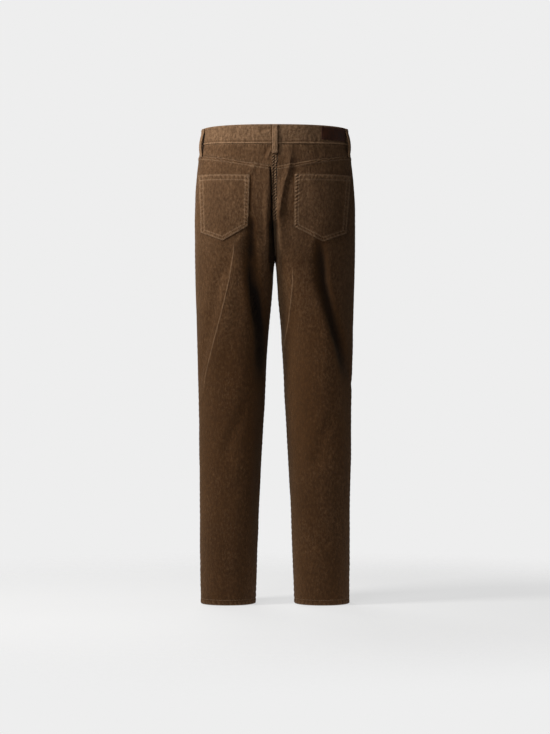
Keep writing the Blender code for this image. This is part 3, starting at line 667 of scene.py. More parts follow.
def thin_crease_marks(face, points):
    """Signed distance from the nearest thin crease, and how strong the crease is there."""
    x, z = points[..., 0], points[..., 2]
    side, strength = np.full(x.shape, FAR), np.zeros(x.shape)
    if face == FRONT:
        return side, strength
    for path in THIN_CREASES:
        away, along, hand = distance_to_path(x, z, path)
        side = np.where(away < np.abs(side), away * hand, side)
        near = falling(away, *THIN_CREASE_REACH)
        strength = np.maximum(strength, run_out(along, THIN_CREASE_RUN_OUT) * near)
    return side, strength


def crease_relief(face, share, points):
    """Height and painted light and shade of the creases at each point, from its own x and z."""
    x, z = points[..., 0], points[..., 2]
    height, tone = np.zeros(x.shape), np.zeros(x.shape)
    for row in CREASES[face]:
        gap, along, hand = distance_to_path(x, z, row.path)
        width = np.where(hand * face > 0, row.width_right, row.width_left)
        window = run_out(along, CREASE_RUN_OUT) * bell(gap, width)
        height += row.height * window
        tone += row.tone * window
    fade = smoothstep(share, *SIDE_FADE)
    return height * fade, tone * fade


ROPE_PITCH = 0.0064
ROPE_PATH = path_mm(1.6, -30, 1.4, -86, 1.2, -120, 1, -150, 0.8, -190)
ROPE_REACH = (0.0036, 0.0056)
ROPE_SLANT = 0.8
ROPE_DRIFT = 0.35


def centre_rope(face, points):
    """The twisted look of the stitched centre back seam: its phase in turns, and its strength."""
    x, z = points[..., 0], points[..., 2]
    if face == FRONT:
        return np.zeros(x.shape), np.zeros(x.shape)
    away, along, hand = distance_to_path(x, z, ROPE_PATH)
    drift = lattice_noise(91, z, 0 * z, 0.013, 1.0)
    phase = (-z + ROPE_SLANT * away * hand) / ROPE_PITCH + ROPE_DRIFT * drift
    return phase, falling(away, *ROPE_REACH) * run_out(along, 0.08)


# Seed, width, height and relief of the cloth's own slight waviness, from broad to small.
UNEVENNESS = ((21, 0.045, 0.110, 0.0008), (22, 0.014, 0.034, 0.00035), (23, 0.007, 0.012, 0.00012))


def soft_unevenness(points):
    """The cloth's own slight waviness, wider lengthwise than across, unbroken over the seams."""
    across = points[..., 0] + 0.7 * points[..., 1]
    return sum(
        relief * lattice_noise(seed, across, points[..., 2], wide, tall)
        for seed, wide, tall, relief in UNEVENNESS
    )


# ---------------------------------------------------------------- grids and walls


SHARP_ANGLE = math.radians(50)


def unit(vectors):
    return vectors / np.maximum(np.linalg.norm(vectors, axis=-1, keepdims=True), 1e-12)


def run_lengths(grid, axis):
    """Length from the grid's first row or column to each point."""
    steps = np.linalg.norm(np.diff(grid, axis=axis), axis=-1)
    start = np.zeros_like(np.take(steps, [0], axis=axis))
    return np.concatenate([start, np.cumsum(steps, axis=axis)], axis=axis)


def wall_faces(rows, columns):
    """Faces of a closed wall between two grids, and which of them are its inside."""
    layer = rows * columns
    corner = (np.arange(rows - 1)[:, None] * columns + np.arange(columns - 1)).ravel()
    quads = np.stack([corner, corner + columns, corner + columns + 1, corner + 1], axis=1)
    inside = quads[:, ::-1] + layer
    top = np.arange(columns)
    right = np.arange(rows) * columns + columns - 1
    foot = top[::-1] + (rows - 1) * columns
    left = (np.arange(rows) * columns)[::-1]
    rims = [
        np.stack([run[:-1], run[1:], layer + run[1:], layer + run[:-1]], axis=1)
        for run in (top, right, foot, left)
    ]
    rim = np.concatenate(rims)[:, ::-1]
    return quads, inside, rim


def make_mesh(name, points, faces, uv=None, attributes=(), materials=(), material_index=None):
    """A smooth-shaded object from arrays. uv is one pair per point, in metres on the cloth."""
    mesh = bpy.data.meshes.new(name)
    faces = np.asarray(faces)
    mesh.vertices.add(len(points))
    mesh.vertices.foreach_set("co", np.asarray(points, np.float32).ravel())
    mesh.loops.add(faces.size)
    mesh.loops.foreach_set("vertex_index", faces.astype(np.int32).ravel())
    mesh.polygons.add(len(faces))
    starts = np.arange(len(faces)) * faces.shape[1]
    mesh.polygons.foreach_set("loop_start", starts.astype(np.int32))
    if uv is not None:
        layer = mesh.uv_layers.new(name="Cloth")
        layer.data.foreach_set("uv", np.asarray(uv, np.float32)[faces.ravel()].ravel())
    for key, values in attributes:
        attribute = mesh.attributes.new(key, "FLOAT", "POINT")
        attribute.data.foreach_set("value", np.asarray(values, np.float32).ravel())
    for material in materials:
        mesh.materials.append(material)
    if material_index is not None:
        mesh.polygons.foreach_set("material_index", np.asarray(material_index, np.int32))
    mesh.update(calc_edges=True)
    mesh.validate()
    mesh.shade_smooth()
    thing = bpy.data.objects.new(name, mesh)
    bpy.context.scene.collection.objects.link(thing)
    return thing


def wall_object(name, outer, inner, uv, marks, materials):
    """A closed cloth wall: outer and inner grids, its outside and inside in two materials. Marks
    are named values for the outside, with what the inside has in their place."""
    rows, columns = outer.shape[:2]
    quads, inside, rim = wall_faces(rows, columns)
    points = np.concatenate([outer.reshape(-1, 3), inner.reshape(-1, 3)])
    both_uv = np.concatenate([uv.reshape(-1, 2)] * 2)
    attributes = [
        (key, np.concatenate([values.ravel(), np.full(values.size, within)]))
        for key, values, within in marks
    ]
    index = np.repeat([0, 1, 0], [len(quads), len(inside), len(rim)])
    thing = make_mesh(
        name, points, np.concatenate([quads, inside, rim]), both_uv, attributes, materials, index,
    )
    turn_outwards(thing)
    thing.data.set_sharp_from_angle(angle=SHARP_ANGLE)
    return thing


def tube_faces(rows, columns):
    """Quads between rings of points, one row to a ring."""
    ring = np.arange(columns)
    after = (ring + 1) % columns
    return np.concatenate([
        np.stack([low + ring, low + after, low + columns + after, low + columns + ring], axis=1)
        for low in range(0, (rows - 1) * columns, columns)
    ])


def turn_outwards(thing, fill=False):
    """Turn every face outwards, after closing the open ends where asked."""
    shape = bmesh.new()
    shape.from_mesh(thing.data)
    if fill:
        bmesh.ops.holes_fill(shape, edges=shape.edges)
    bmesh.ops.recalc_face_normals(shape, faces=shape.faces)
    shape.to_mesh(thing.data)
    shape.free()


def square_cut(directions, grid):
    """At a panel's two seams the wall is cut square, so neighbours stay the seam gap apart."""
    fixed = directions.copy()
    z = grid[:, -1, 2]
    fixed[:, 0, 1] = 0.0
    below = z < CROTCH_Z - SEAM_GAP / 2
    above = z > CROTCH_Z + SEAM_GAP / 2
    fixed[below, -1, 1] = 0.0
    fixed[above, -1, 0] = 0.0
    fixed[~below & ~above, -1] = (0.0, 0.0, -1.0)
    length = np.linalg.norm(fixed, axis=2, keepdims=True)
    return fixed / np.maximum(length, MITRE_LIMIT)


# ---------------------------------------------------------------- relief along seams


def read_along(places, arc, values):
    """A line's points or directions at the given arc lengths."""
    return np.stack([np.interp(places, arc, values[:, axis]) for axis in range(3)], axis=1)


def evenly(line, step):
    """The same line with points a step apart."""
    arc = run_lengths(line, 0)
    places = np.linspace(0, arc[-1], max(2, int(round(arc[-1] / step)) + 1))
    return read_along(places, arc, line)


NEAR = 0.03  # how far the relief of a seam is looked for
NEAR_BATCH = 4000


def near_line(points, line):
    """Distance from each point to a line and the place along it. Far points keep the reach."""
    flat = points.reshape(-1, 3)
    distance = np.full(len(flat), NEAR)
    along = np.zeros(len(flat))
    arc = run_lengths(line, 0)
    low, high = line.min(0) - NEAR, line.max(0) + NEAR
    chosen = np.flatnonzero(((flat > low) & (flat < high)).all(1))
    for part in np.array_split(chosen, max(1, len(chosen) // NEAR_BATCH)):
        spots = flat[part]
        gaps = ((spots[:, None] - line[None]) ** 2).sum(2)
        nearest = gaps.argmin(1)
        best = np.full(len(part), NEAR)
        place = arc[nearest]
        for shift in (-1, 0):
            first = np.clip(nearest + shift, 0, len(line) - 2)
            start, run = line[first], line[first + 1] - line[first]
            share = np.clip(((spots - start) * run).sum(1) / (run * run).sum(1), 0, 1)
            gap = np.linalg.norm(spots - start - share[:, None] * run, axis=1)
            closer = gap < best
            best = np.where(closer, gap, best)
            place = np.where(closer, arc[first] + share * (arc[first + 1] - arc[first]), place)
        distance[part] = best
        along[part] = place
    return distance.reshape(points.shape[:-1]), along.reshape(points.shape[:-1])


def pucker(along, away, pitch, seed, slant=0.35):
    """Uneven gathers along a stitched line, from -1 to 1."""
    level = np.zeros_like(along)
    drift = lattice_noise(seed, along, level, 3.1 * pitch, 1.0)
    strength = 0.62 + 0.38 * lattice_noise(seed + 1, along, level, 2.3 * pitch, 1.0)
    return strength * np.sin(2 * np.pi * (along + slant * away) / pitch + 2.4 * drift)


# The groove that a row of stitches presses into the cloth: its depth and width.
Groove = namedtuple("Groove", "depth width")
FELL_GROOVE = Groove(0.0004, 0.0009)
HEM_GROOVE = Groove(0.00045, 0.0011)
BAND_FOOT_GROOVE = Groove(0.00055, 0.0011)
BAND_TOP_GROOVE = Groove(0.0004, 0.0011)
LOOP_GROOVE = Groove(0.0005, 0.0010)
LOOP_TACK_GROOVE = Groove(0.0006, 0.0012)
POCKET_EDGE_GROOVE = Groove(0.00055, 0.0010)
POCKET_HEM_GROOVE = Groove(0.00050, 0.0010)
PATCH_GROOVE = Groove(0.0004, 0.0009)


def pressed(away, groove):
    """Height of a groove at a distance from its row of stitches."""
    return -groove.depth * bell(away, groove.width)


SEAM_POINTS = 4001
SEAM_STEP = 0.0015
FELL_ROWS = (0.0018, 0.0070)  # gaps of a felled seam's two rows of stitches from the join
VALLEY_WIDTH = 0.0018
FELL_SOFTNESS = 0.0009
FELL_EDGE = (0.0012, 0.0014)  # inset and width of the pale line at a felled seam's raised edge
WORN_SEAM = 0.07
GATHER_WEAR_AND_SHADE = 0.30  # paler crests and darker hollows on gathers of WORN_HEIGHT: wear with painted light and shade
WORN_HEIGHT = 0.0008
WORN_EDGE = 0.30

# A panel's edge: its line and seed, then the style: the depth of the valley at the join, the
# raised width of a felled seam with its height, the gathers' height, pitch and reach, and
# whether the gathers are counted by height.
Edge = namedtuple("Edge", "line seed valley fell_width fell gather pitch reach upright")
PLAIN = (0.0008, 0.0, 0.0, 0.00042, 0.0125, 0.008, True)
FELLED = (0.0008, 0.0088, 0.0010, 0.00085, 0.0050, 0.0080, False)
ROPE = (0.0003, 0.0, 0.0, 0.00030, 0.0062, 0.0085, False)
INSEAM = (0.0007, 0.0088, 0.0007, 0.00050, 0.0125, 0.0100, True)
BESIDE = (0.0009, 0.0, 0.0, 0.00050, 0.0062, 0.007, False)
BESIDE_LONG = (0.0008, 0.0, 0.0, 0.00045, 0.0125, 0.008, True)


def edge_relief(edges, points):
    """Height from every edge, the distance to the nearest one, and the seams' wear, with painted light and shade on
    the gathers.
    """
    height = np.zeros(points.shape[:-1])
    worn = np.zeros(points.shape[:-1])
    border = np.full(points.shape[:-1], NEAR)
    for edge in edges:
        away, along = near_line(points, edge.line)
        along = -points[..., 2] if edge.upright else along
        border = np.minimum(border, away)
        height -= edge.valley * np.exp(-away / VALLEY_WIDTH)
        if edge.fell:
            low, high = edge.fell_width - FELL_SOFTNESS, edge.fell_width + FELL_SOFTNESS
            height += edge.fell * falling(away, low, high)
            for row in FELL_ROWS:
                height += pressed(away - row, FELL_GROOVE)
            worn += WORN_EDGE * bell(away - edge.fell_width + FELL_EDGE[0], FELL_EDGE[1])
        gather = pucker(along, away, edge.pitch, edge.seed, slant=0.9 if edge.fell else 0.35)
        window = np.exp(-((away / edge.reach) ** 4))
        height += edge.gather * gather * window
        # wear along the seam; the gathers' crests paler and their hollows darker, wear with painted light and shade
        share = GATHER_WEAR_AND_SHADE * (edge.gather / WORN_HEIGHT)
        worn += window * (WORN_SEAM + share * np.clip(gather, -0.8, 1))
    return height, border, worn


def seam_heights(top, foot):
    """Heights down a seam, close enough to measure its length by."""
    return np.linspace(top, foot, SEAM_POINTS)


def front_form(side):
    """The front's form. The wearer's left half laps over the right along the fly."""
    if side == RIGHT:
        return partial(form_points, side, FRONT)

    def shape(share, z):
        share, z = np.broadcast_arrays(np.asarray(share, float), np.asarray(z, float))
        lapping = falling(-z, -FLY_EDGE_Z[0], -FLY_EDGE_Z[1])
        raised = falling(-z, -FLY_LIFT_Z[0], -FLY_LIFT_Z[1])
        near = smoothstep(share, *FLY_COLUMNS)
        lift, lap = FLY_LIFT * raised * near, FLY_LAP * lapping * near
        return form_points(side, FRONT, share, z, lift, lap)

    return shape


# Height and how much paler the pile is there: partly wear, partly painted light that falls from above.
PALER_UPWARDS = (
    (-1.02, 0.05), (-0.85, 0.05), (-0.62, 0.02), (-0.50, 0.03), (-0.36, 0.11), (-0.22, 0.15),
    (-0.05, 0.22), (0.03, 0.3),
)


def paler_upwards(points):
    """How much paler the pile is with height, most at the seat and the waist: partly wear, partly painted light from
    above.
    """
    heights, values = zip(*PALER_UPWARDS)
    return np.interp(points[..., 2], heights, values)


CROTCH_CALM = 0.012
THIGH_FULLNESS = 0.0017
THIGH_FILLING = (0.0003, 0.0040)  # depths below the crotch over which the fullness comes in
THIGH_EMPTYING = (0.045, 0.150)  # and over which it runs out
THIGH_INMOST = (0.010, 0.035)  # distances from the middle plane over which it runs out


def crotch_calm(points):
    """Small relief dies away where the four seams meet, so that they stay closed."""
    reach = np.hypot(points[..., 0], points[..., 2] - CROTCH_Z)
    return 1 - bell(reach, CROTCH_CALM)


def thigh_fullness(points):
    """The thighs nearly touch for a little way below the crotch."""
    below, inward = CROTCH_Z - points[..., 2], np.abs(points[..., 0])
    window = smoothstep(below, *THIGH_FILLING) * falling(below, *THIGH_EMPTYING)
    return THIGH_FULLNESS * window * falling(inward, *THIGH_INMOST)


SHARE_STEP = 0.004
Z_STEP = 0.0008
SEAM_SHARE = 0.05  # shares beside the side seam whose relief is turned square to it
INSEAM_SHARE = 0.96
CENTRE_REACH = (0.004, 0.024)  # distances from the centre seam over which it straightens


class Cloth:
    """A stretch of the garment between two seams, with its relief."""

    def __init__(self, side, face, form, edges, seed):
        self.side, self.face, self.form, self.edges, self.seed = side, face, form, edges, seed

    def normals(self, share, z):
        """Outward directions of the smooth form."""
        before, after = np.clip(share - SHARE_STEP, 0, 1), np.clip(share + SHARE_STEP, 0, 1)
        across = self.form(after, z) - self.form(before, z)
        down = self.form(share, z - Z_STEP) - self.form(share, z + Z_STEP)
        return unit(np.cross(down, across)) * (self.side * self.face)

    def surface(self, share, z):
        """Points on the cloth's outside, the form's directions there, the nearest edge, and wear with painted light
        and shade.
        """
        base = self.form(share, z)
        directions = self.relief_directions(base, share, self.normals(share, z))
        height, border, worn = edge_relief(self.edges, base)
        creases, tone = crease_relief(self.face, share, base)
        height = height + soft_unevenness(base)
        height = height * crotch_calm(base) + creases + thigh_fullness(base)
        worn = worn + paler_upwards(base) + tone
        return base + directions * height[..., None], directions, border, worn

    def relief_directions(self, base, share, normals):
        """The form's directions, turned square to the seams, so that relief never opens them."""
        x, z = np.abs(base[..., 0]), base[..., 2]
        legs = falling(z, CROTCH_Z - 0.012, CROTCH_Z - 0.004)
        inseam = legs * smoothstep(share, INSEAM_SHARE, 1.0)
        beside = np.maximum(falling(share, 0.0, SEAM_SHARE), inseam)
        normals = normals * np.stack([np.ones(x.shape), 1 - beside, np.ones(x.shape)], axis=-1)
        trunk = smoothstep(z, CROTCH_Z - 0.002, CROTCH_Z + 0.002)
        inmost = falling(x, *CENTRE_REACH) * trunk
        straight = np.zeros(normals.shape)
        straight[..., 1] = self.face
        return unit(normals + (straight - normals) * inmost[..., None])

    def share_at(self, x, z):
        """The share round the form at which it reaches x at height z."""
        shape = np.broadcast(x, z).shape
        return halve(
            np.zeros(shape), np.ones(shape),
            lambda share: self.side * (self.form(share, z)[..., 0] - x) < 0,
        )


def crowded(count, *crowds):
    """Shares from 0 to 1 that close up round each (place, width, strength)."""
    even = np.linspace(0, 1, 4001)
    density = 1 + sum(strength * bell(even - place, width) for place, width, strength in crowds)
    total = np.concatenate([[0], np.cumsum((density[1:] + density[:-1]) / 2)])
    return np.interp(np.linspace(0, 1, count), total / total[-1], even)


def crowded_ends(count, width, strength):
    """Shares from 0 to 1 that close up near both ends."""
    return crowded(count, (0, width, strength), (1, width, strength))


EDGE_ROUNDING = 0.46
EDGE_WEAR_WIDTH = 0.0014


def edge_turn(border, thickness):
    """How far a folded or cut edge rounds in, on each face of the wall."""
    radius = thickness * EDGE_ROUNDING
    near = np.clip(1 - border / radius, 0, 1)
    return radius * (1 - np.sqrt(1 - near * near))


def cloth_uv(grid):
    """Metres across the wales from the middle column, and metres down the piece."""
    level = grid.copy()
    level[..., 2] = 0.0
    across = run_lengths(level, 1)
    across -= across[:, [grid.shape[1] // 2]]
    return np.stack([across, run_lengths(grid, 0)], axis=-1)


def wall_piece(
    name, surface, directions, thickness, border, materials, uv=None, worn=None, marks=(),
):
    """A cloth wall below a finished outside surface, with its edges rounded."""
    thickness = np.broadcast_to(thickness, border.shape)
    turn = edge_turn(border, thickness)[..., None]
    outer = surface - directions * turn
    inner = surface - directions * (thickness[..., None] - turn)
    uv = cloth_uv(surface) if uv is None else uv
    edge_wear = WORN_EDGE * bell(border, EDGE_WEAR_WIDTH)
    worn = edge_wear if worn is None else worn + edge_wear
    # one channel for wear and for painted light and shade; where it is negative it paints shade
    return wall_object(name, outer, inner, uv, (("worn", worn, 0.0), *marks), materials)


def fine_marks(face, points):
    """What the material draws finer than the mesh, as bumps with painted light and shade: thin creases and the centre
    seam's twist.
    """
    names = ("crease_side", "crease", "rope_phase", "rope")
    values = (*thin_crease_marks(face, points), *centre_rope(face, points))
    return tuple((name, value, 0.0) for name, value in zip(names, values))


# ---------------------------------------------------------------- leg panels, yokes, facings

PANEL_COLUMNS = {BACK: 84, FRONT: 66}
PANEL_SEAM_CROWD = {BACK: (1, 0.07, 7), FRONT: (1, 0.06, 4)}
PANEL_ROWS = {BACK: 400, FRONT: 330}
PANEL_CROWDING = (0.50, 0.96)
HEM_STITCH = 0.0115  # above the hem's edge
HEM_PITCH = 0.0100
HEM_SLANT = 0.5
HEM_ROPING = 0.00042
HEM_FULLNESS = 0.0003
HEM_WEAR_TOP = 0.014
HEM_WEAR_AND_SHADE = (0.14, 0.26)  # even wear, and on the roping paler crests and darker hollows: wear with painted light and shade
FOOT_CROWD = (1, 0.022, 3)


def panel_heights(top, form, share, rows):
    """Heights of a panel's grid: even at the side, even along the seam at the inner edge."""
    top_crowd = (0, 0.013, 3)
    outer = crowded(rows, top_crowd, (0.10, 0.12, 1.0), FOOT_CROWD)[:, None]
    z = seam_heights(top(1.0), HEM_Z)
    arc = run_lengths(form(1.0, z), 0)
    crotch = float(np.interp(-CROTCH_Z, -z, arc)) / arc[-1]
    seat_crowds = (crotch / 2, crotch / 2, 1.2), (crotch, 0.03, 1.5)
    inner = np.interp(crowded(rows, top_crowd, *seat_crowds, FOOT_CROWD) * arc[-1], arc, z)
    inner[np.abs(inner - CROTCH_Z).argmin()] = CROTCH_Z
    inner = ((inner - top(1.0)) / (HEM_Z - top(1.0)))[:, None]
    blend = smoothstep(share, *PANEL_CROWDING)[None]
    down = outer * (1 - blend) + inner * blend
    return top(share)[None] + (HEM_Z - top(share)[None]) * down


def hem_relief(z, along, seed):
    """The turned-up hem: a stitched groove, the roping below it and the fold's fullness."""
    up = z - HEM_Z
    groove = pressed(up - HEM_STITCH, HEM_GROOVE)
    roping = pucker(along, up, HEM_PITCH, seed, slant=HEM_SLANT)
    over = falling(up, HEM_STITCH + 0.001, HEM_STITCH + 0.010)
    window = smoothstep(up, 0.0, 0.003) * over
    fullness = falling(up, HEM_STITCH, HEM_STITCH + 0.002)
    return groove + HEM_ROPING * roping * window + HEM_FULLNESS * fullness


def hem_doubling(z, fade):
    """Thickness that the turned-up hem adds, running out over the given height."""
    folded = falling(z, HEM_Z + HEM_DEPTH - 0.0006, HEM_Z + HEM_DEPTH + fade)
    return (DOUBLE_CLOTH - CLOTH) * folded


def leg_panel(name, cloth, top, materials):
    """A whole leg panel from its top edge to the hem."""
    share = crowded(PANEL_COLUMNS[cloth.face], (0, 0.02, 3), PANEL_SEAM_CROWD[cloth.face])
    z = panel_heights(top, cloth.form, share, PANEL_ROWS[cloth.face])
    share_grid = np.broadcast_to(share, z.shape)
    surface, normals, border, worn = cloth.surface(share_grid, z)
    uv = cloth_uv(surface)
    surface = surface + normals * hem_relief(z, uv[..., 0], cloth.seed)[..., None]
    directions = square_cut(normals, surface)
    up = z - HEM_Z
    border = np.minimum(border, up)
    thickness = CLOTH + hem_doubling(z, 0.0006)
    roping = pucker(uv[..., 0], up, HEM_PITCH, cloth.seed, slant=HEM_SLANT)
    worn = worn + falling(up, 0.0, HEM_WEAR_TOP) * (HEM_WEAR_AND_SHADE[0] + HEM_WEAR_AND_SHADE[1] * roping)
    marks = fine_marks(cloth.face, surface)
    return wall_piece(name, surface, directions, thickness, border, materials, uv, worn, marks)


def between(top, foot, rows, share):
    """Heights of a short piece's grid between its two edges."""
    down = crowded_ends(rows, 0.10, 1.5)[:, None]
    return top[None] + (foot[None] - top[None]) * down + 0 * share[None]


def short_piece(name, cloth, top, foot, share, rows, materials, sunk=0.0):
    """A yoke or a pocket facing between two edges, sunk where it lies behind another cloth."""
    z = between(top, foot, rows, share)
    surface, normals, border, worn = cloth.surface(np.broadcast_to(share, z.shape), z)
    directions = square_cut(normals, surface)
    surface = surface - directions * sunk
    marks = fine_marks(cloth.face, surface)
    return wall_piece(
        name, surface, directions, CLOTH, border, materials, worn=worn, marks=marks,
    )


def seam_edge(form, share, z, style, seed):
    return Edge(evenly(form(share, z), SEAM_STEP), seed, *style)


def back_top(share):
    return yoke_seam(share) - SEAM_GAP / 2


def front_top(share):
    return scoop_height(np.asarray(share, float)) - SEAM_GAP / 2


EVEN = np.linspace(0, 1, 900)
INSEAM_START = 0.0004  # below the crotch point, where the form's inner edge turns


def rise_and_inseam(form, top, rise_style, inseam_style, seeds):
    """A panel's inner edge: the centre seam down to the crotch, then the inseam to the hem."""
    return [
        seam_edge(form, 1.0, seam_heights(top, CROTCH_Z), rise_style, seeds[0]),
        seam_edge(form, 1.0, seam_heights(CROTCH_Z - INSEAM_START, HEM_Z), inseam_style, seeds[1]),
    ]


def back_cloth(side):
    form = partial(form_points, side, BACK)
    edges = [
        seam_edge(form, 0.0, seam_heights(back_top(0.0), HEM_Z), PLAIN, 11),
        seam_edge(form, EVEN, back_top(EVEN), FELLED, 13),
        *rise_and_inseam(form, back_top(1.0), ROPE, INSEAM, (12, 19)),
    ]
    return Cloth(side, BACK, form, edges, 20 + side)


def yoke_cloth(side):
    form = partial(form_points, side, BACK)
    top = band_foot(BACK, EVEN) - SEAM_GAP / 2
    foot = yoke_seam(EVEN) + SEAM_GAP / 2
    side_line = top[0] + (foot[0] - top[0]) * EVEN
    centre_line = top[-1] + (foot[-1] - top[-1]) * EVEN
    edges = [
        seam_edge(form, 0.0, side_line, PLAIN, 11),
        seam_edge(form, 1.0, centre_line, ROPE, 14),
        seam_edge(form, EVEN, top, BESIDE, 15),
        seam_edge(form, EVEN, foot, BESIDE, 16),
    ]
    return Cloth(side, BACK, form, edges, 20 + side)


def front_cloth(side):
    form = front_form(side)
    edges = [
        seam_edge(form, 0.0, seam_heights(front_top(0.0), HEM_Z), BESIDE_LONG, 11),
        seam_edge(form, EVEN, front_top(EVEN), BESIDE, 18),
        *rise_and_inseam(form, front_top(1.0), BESIDE_LONG, BESIDE_LONG, (17, 19)),
    ]
    return Cloth(side, FRONT, form, edges, 30 + side)


def facing_cloth(side):
    return Cloth(side, FRONT, front_form(side), [], 40 + side)


# ---------------------------------------------------------------- seam allowances

ALLOWANCE = 0.0005
ALLOWANCE_GAP = 0.0004
ALLOWANCE_SHARE = 0.030  # how far a strip reaches round a panel from its seam
ALLOWANCE_BORDER = 0.01  # keeps a strip's edges square
TAPE_DEPTH = 0.0032
TAPE_FRONT_DEPTH = 0.0014  # more at the front, inside the pocket facings
LEVEL_SHARES = (0.004, 0.996)
LEVEL_REACH = (0.0070, 0.0003)
WAIST_TAPE = (0.0090, 0.0045, 0.0006, -0.0006, -0.0045, -0.0090)  # heights from the band's foot


def wall_depth(face, share, z):
    """Depth of the innermost cloth: doubled at the hem, and with the facing behind the scoop."""
    facing = (CLOTH + FACING_DROP) * smoothstep(z, FACING_FOOT_Z - 0.006, FACING_FOOT_Z - 0.001)
    facing = facing * falling(share, FACING_REACH, FACING_REACH + 0.05)
    return CLOTH + hem_doubling(z, 0.0040) + (facing if face == FRONT else 0.0)


def strip(name, surface, directions):
    """A thin strip of plain cloth inside the garment."""
    border = np.full(surface.shape[:2], ALLOWANCE_BORDER)
    return wall_piece(name, surface, directions, ALLOWANCE, border, (INSIDE, INSIDE))


def allowance(name, halves, extra=0.0):
    """A thin strip inside the garment that lies across a seam, from one cloth to the next. Each
    half is a cloth with the shares and heights of its columns."""
    surfaces, directions = [], []
    for cloth, share, z in halves:
        surface, normals, *_ = cloth.surface(share, z)
        depth = ALLOWANCE_GAP + extra + wall_depth(cloth.face, share, z)
        surfaces.append(surface - normals * depth[..., None])
        directions.append(normals)
    return strip(name, np.concatenate(surfaces, axis=1), np.concatenate(directions, axis=1))


def upright_allowance(name, first, second, at_centre, top, foot, rows, columns=4, extra=0.0):
    """A strip down a side seam (share 0) or down a centre seam or inseam (share 1)."""
    reach = np.linspace(ALLOWANCE_SHARE, 0.0, columns)
    share, z = np.meshgrid(1 - reach if at_centre else reach, np.linspace(top, foot, rows))
    return allowance(name, ((first, share, z), (second, share[:, ::-1], z)), extra)


def level_allowance(name, upper, lower, height, columns):
    """A strip along a seam that runs round the garment at a height for each share."""
    share, reach = np.meshgrid(np.linspace(*LEVEL_SHARES, columns), np.linspace(*LEVEL_REACH, 4))
    above, below = height(share) + reach, height(share) - reach[::-1]
    return allowance(name, ((upper, share.T, above.T), (lower, share.T, below.T)))


def waist_tape(name):
    """A strip inside the waist seam all round, inside both ends of the lapped band."""
    angle, rise = np.meshgrid(np.linspace(BAND_OVER_END + 4, BAND_UNDER_END - 22, 220), WAIST_TAPE)
    front = smoothstep(-np.sin(np.radians(angle)), 0.0, 0.12)
    depth = TAPE_DEPTH + TAPE_FRONT_DEPTH * front
    points = ring_points(angle, ring_edge(BAND_FOOT, angle) + rise, -depth)
    outward = unit(points * (1.0, 1.3, 0.0))
    return strip(name, points + outward * soft_unevenness(points)[..., None], outward)


# ---------------------------------------------------------------- waistband

BAND_COLUMNS = 620
BAND_ROWS = 26
BAND_RIDGE = 0.0024  # the rolled lower edge
BAND_FOOT_ROW = 0.0052  # the stitched line above it
BAND_TOP_ROW = 0.0028  # and the one below the top edge
BAND_RADIUS = 0.14  # turns angles round the waist into lengths
# Pitch, seed and slant of the gathers above the foot's row, and of the rolled edges' twist.
BAND_GATHERS = (0.0100, 51, -0.15)
BAND_ROPING = (0.0060, 53, 0.8)
BAND_TOP_ROPING = (0.0066, 55, 0.6)
BAND_RIDGE_HEIGHT = 0.0007
BAND_RIDGE_WIDTH = 0.0019
BAND_GATHERS_HEIGHT = 0.00048
BAND_ROPING_HEIGHT = 0.00035
ANGLE_STEP = 0.4


def band_relief(angle, z, top, foot, points):
    """Ridge and groove along the foot, gathers above them, and the top's soft roll."""
    up, down = z - foot, top - z
    along = np.radians(angle) * BAND_RADIUS
    ridge = BAND_RIDGE_HEIGHT * bell(up - BAND_RIDGE / 2, BAND_RIDGE_WIDTH)
    groove = pressed(up - BAND_FOOT_ROW, BAND_FOOT_GROOVE)
    groove = groove + pressed(down - BAND_TOP_ROW, BAND_TOP_GROOVE)
    uneven = 0.55 + 0.45 * lattice_noise(59, along, up, 0.031, 1.0)
    gathers = pucker(along, up, *BAND_GATHERS) * uneven
    gathers = gathers * smoothstep(up, 0.003, 0.006) * falling(up, 0.013, 0.022)
    roping = pucker(along, up, *BAND_ROPING) * bell(up, 0.0035)
    fine = pucker(along, down, *BAND_TOP_ROPING) * bell(down, 0.004)
    height = ridge + groove + BAND_GATHERS_HEIGHT * gathers
    height = height + BAND_ROPING_HEIGHT * roping + BAND_ROPING_HEIGHT * fine
    back = points[..., 1] > 0
    creases, tone = crease_relief(BACK, np.ones(z.shape), points)
    height = height + np.where(back, creases, 0.0)
    # the band paler overall; its gathers' crests paler and hollows darker, wear with painted light and shade; and the
    # creases' painted light and shade on the back
    worn = 0.66 + 0.26 * np.clip(gathers, -0.7, 1) + 0.12 * fine + np.where(back, tone, 0.0)
    worn = worn + 0.50 * bell(up - BAND_RIDGE / 2, 0.0020) + 0.15 * bell(down, 0.002)
    # painted shade in the groove of the foot's row of stitches
    worn = worn - 0.60 * bell(up - BAND_FOOT_ROW, 0.0014)
    return height + soft_unevenness(points), worn


def band_surface(angle, down):
    """The waistband's outside at ring angles and shares down from its top edge."""
    top, foot = band_edges(angle)
    z = top + (foot - top) * down
    lift = BAND_PROUD + band_lap(angle)
    base = ring_points(angle, z, lift)
    along = ring_points(angle + ANGLE_STEP, z, lift) - ring_points(angle - ANGLE_STEP, z, lift)
    upward = ring_points(angle, z + 0.001, lift) - ring_points(angle, z - 0.001, lift)
    normals = unit(np.cross(along, upward))
    height, worn = band_relief(angle, z, top, foot, base)
    return base + normals * height[..., None], normals, np.minimum(top - z, z - foot), worn


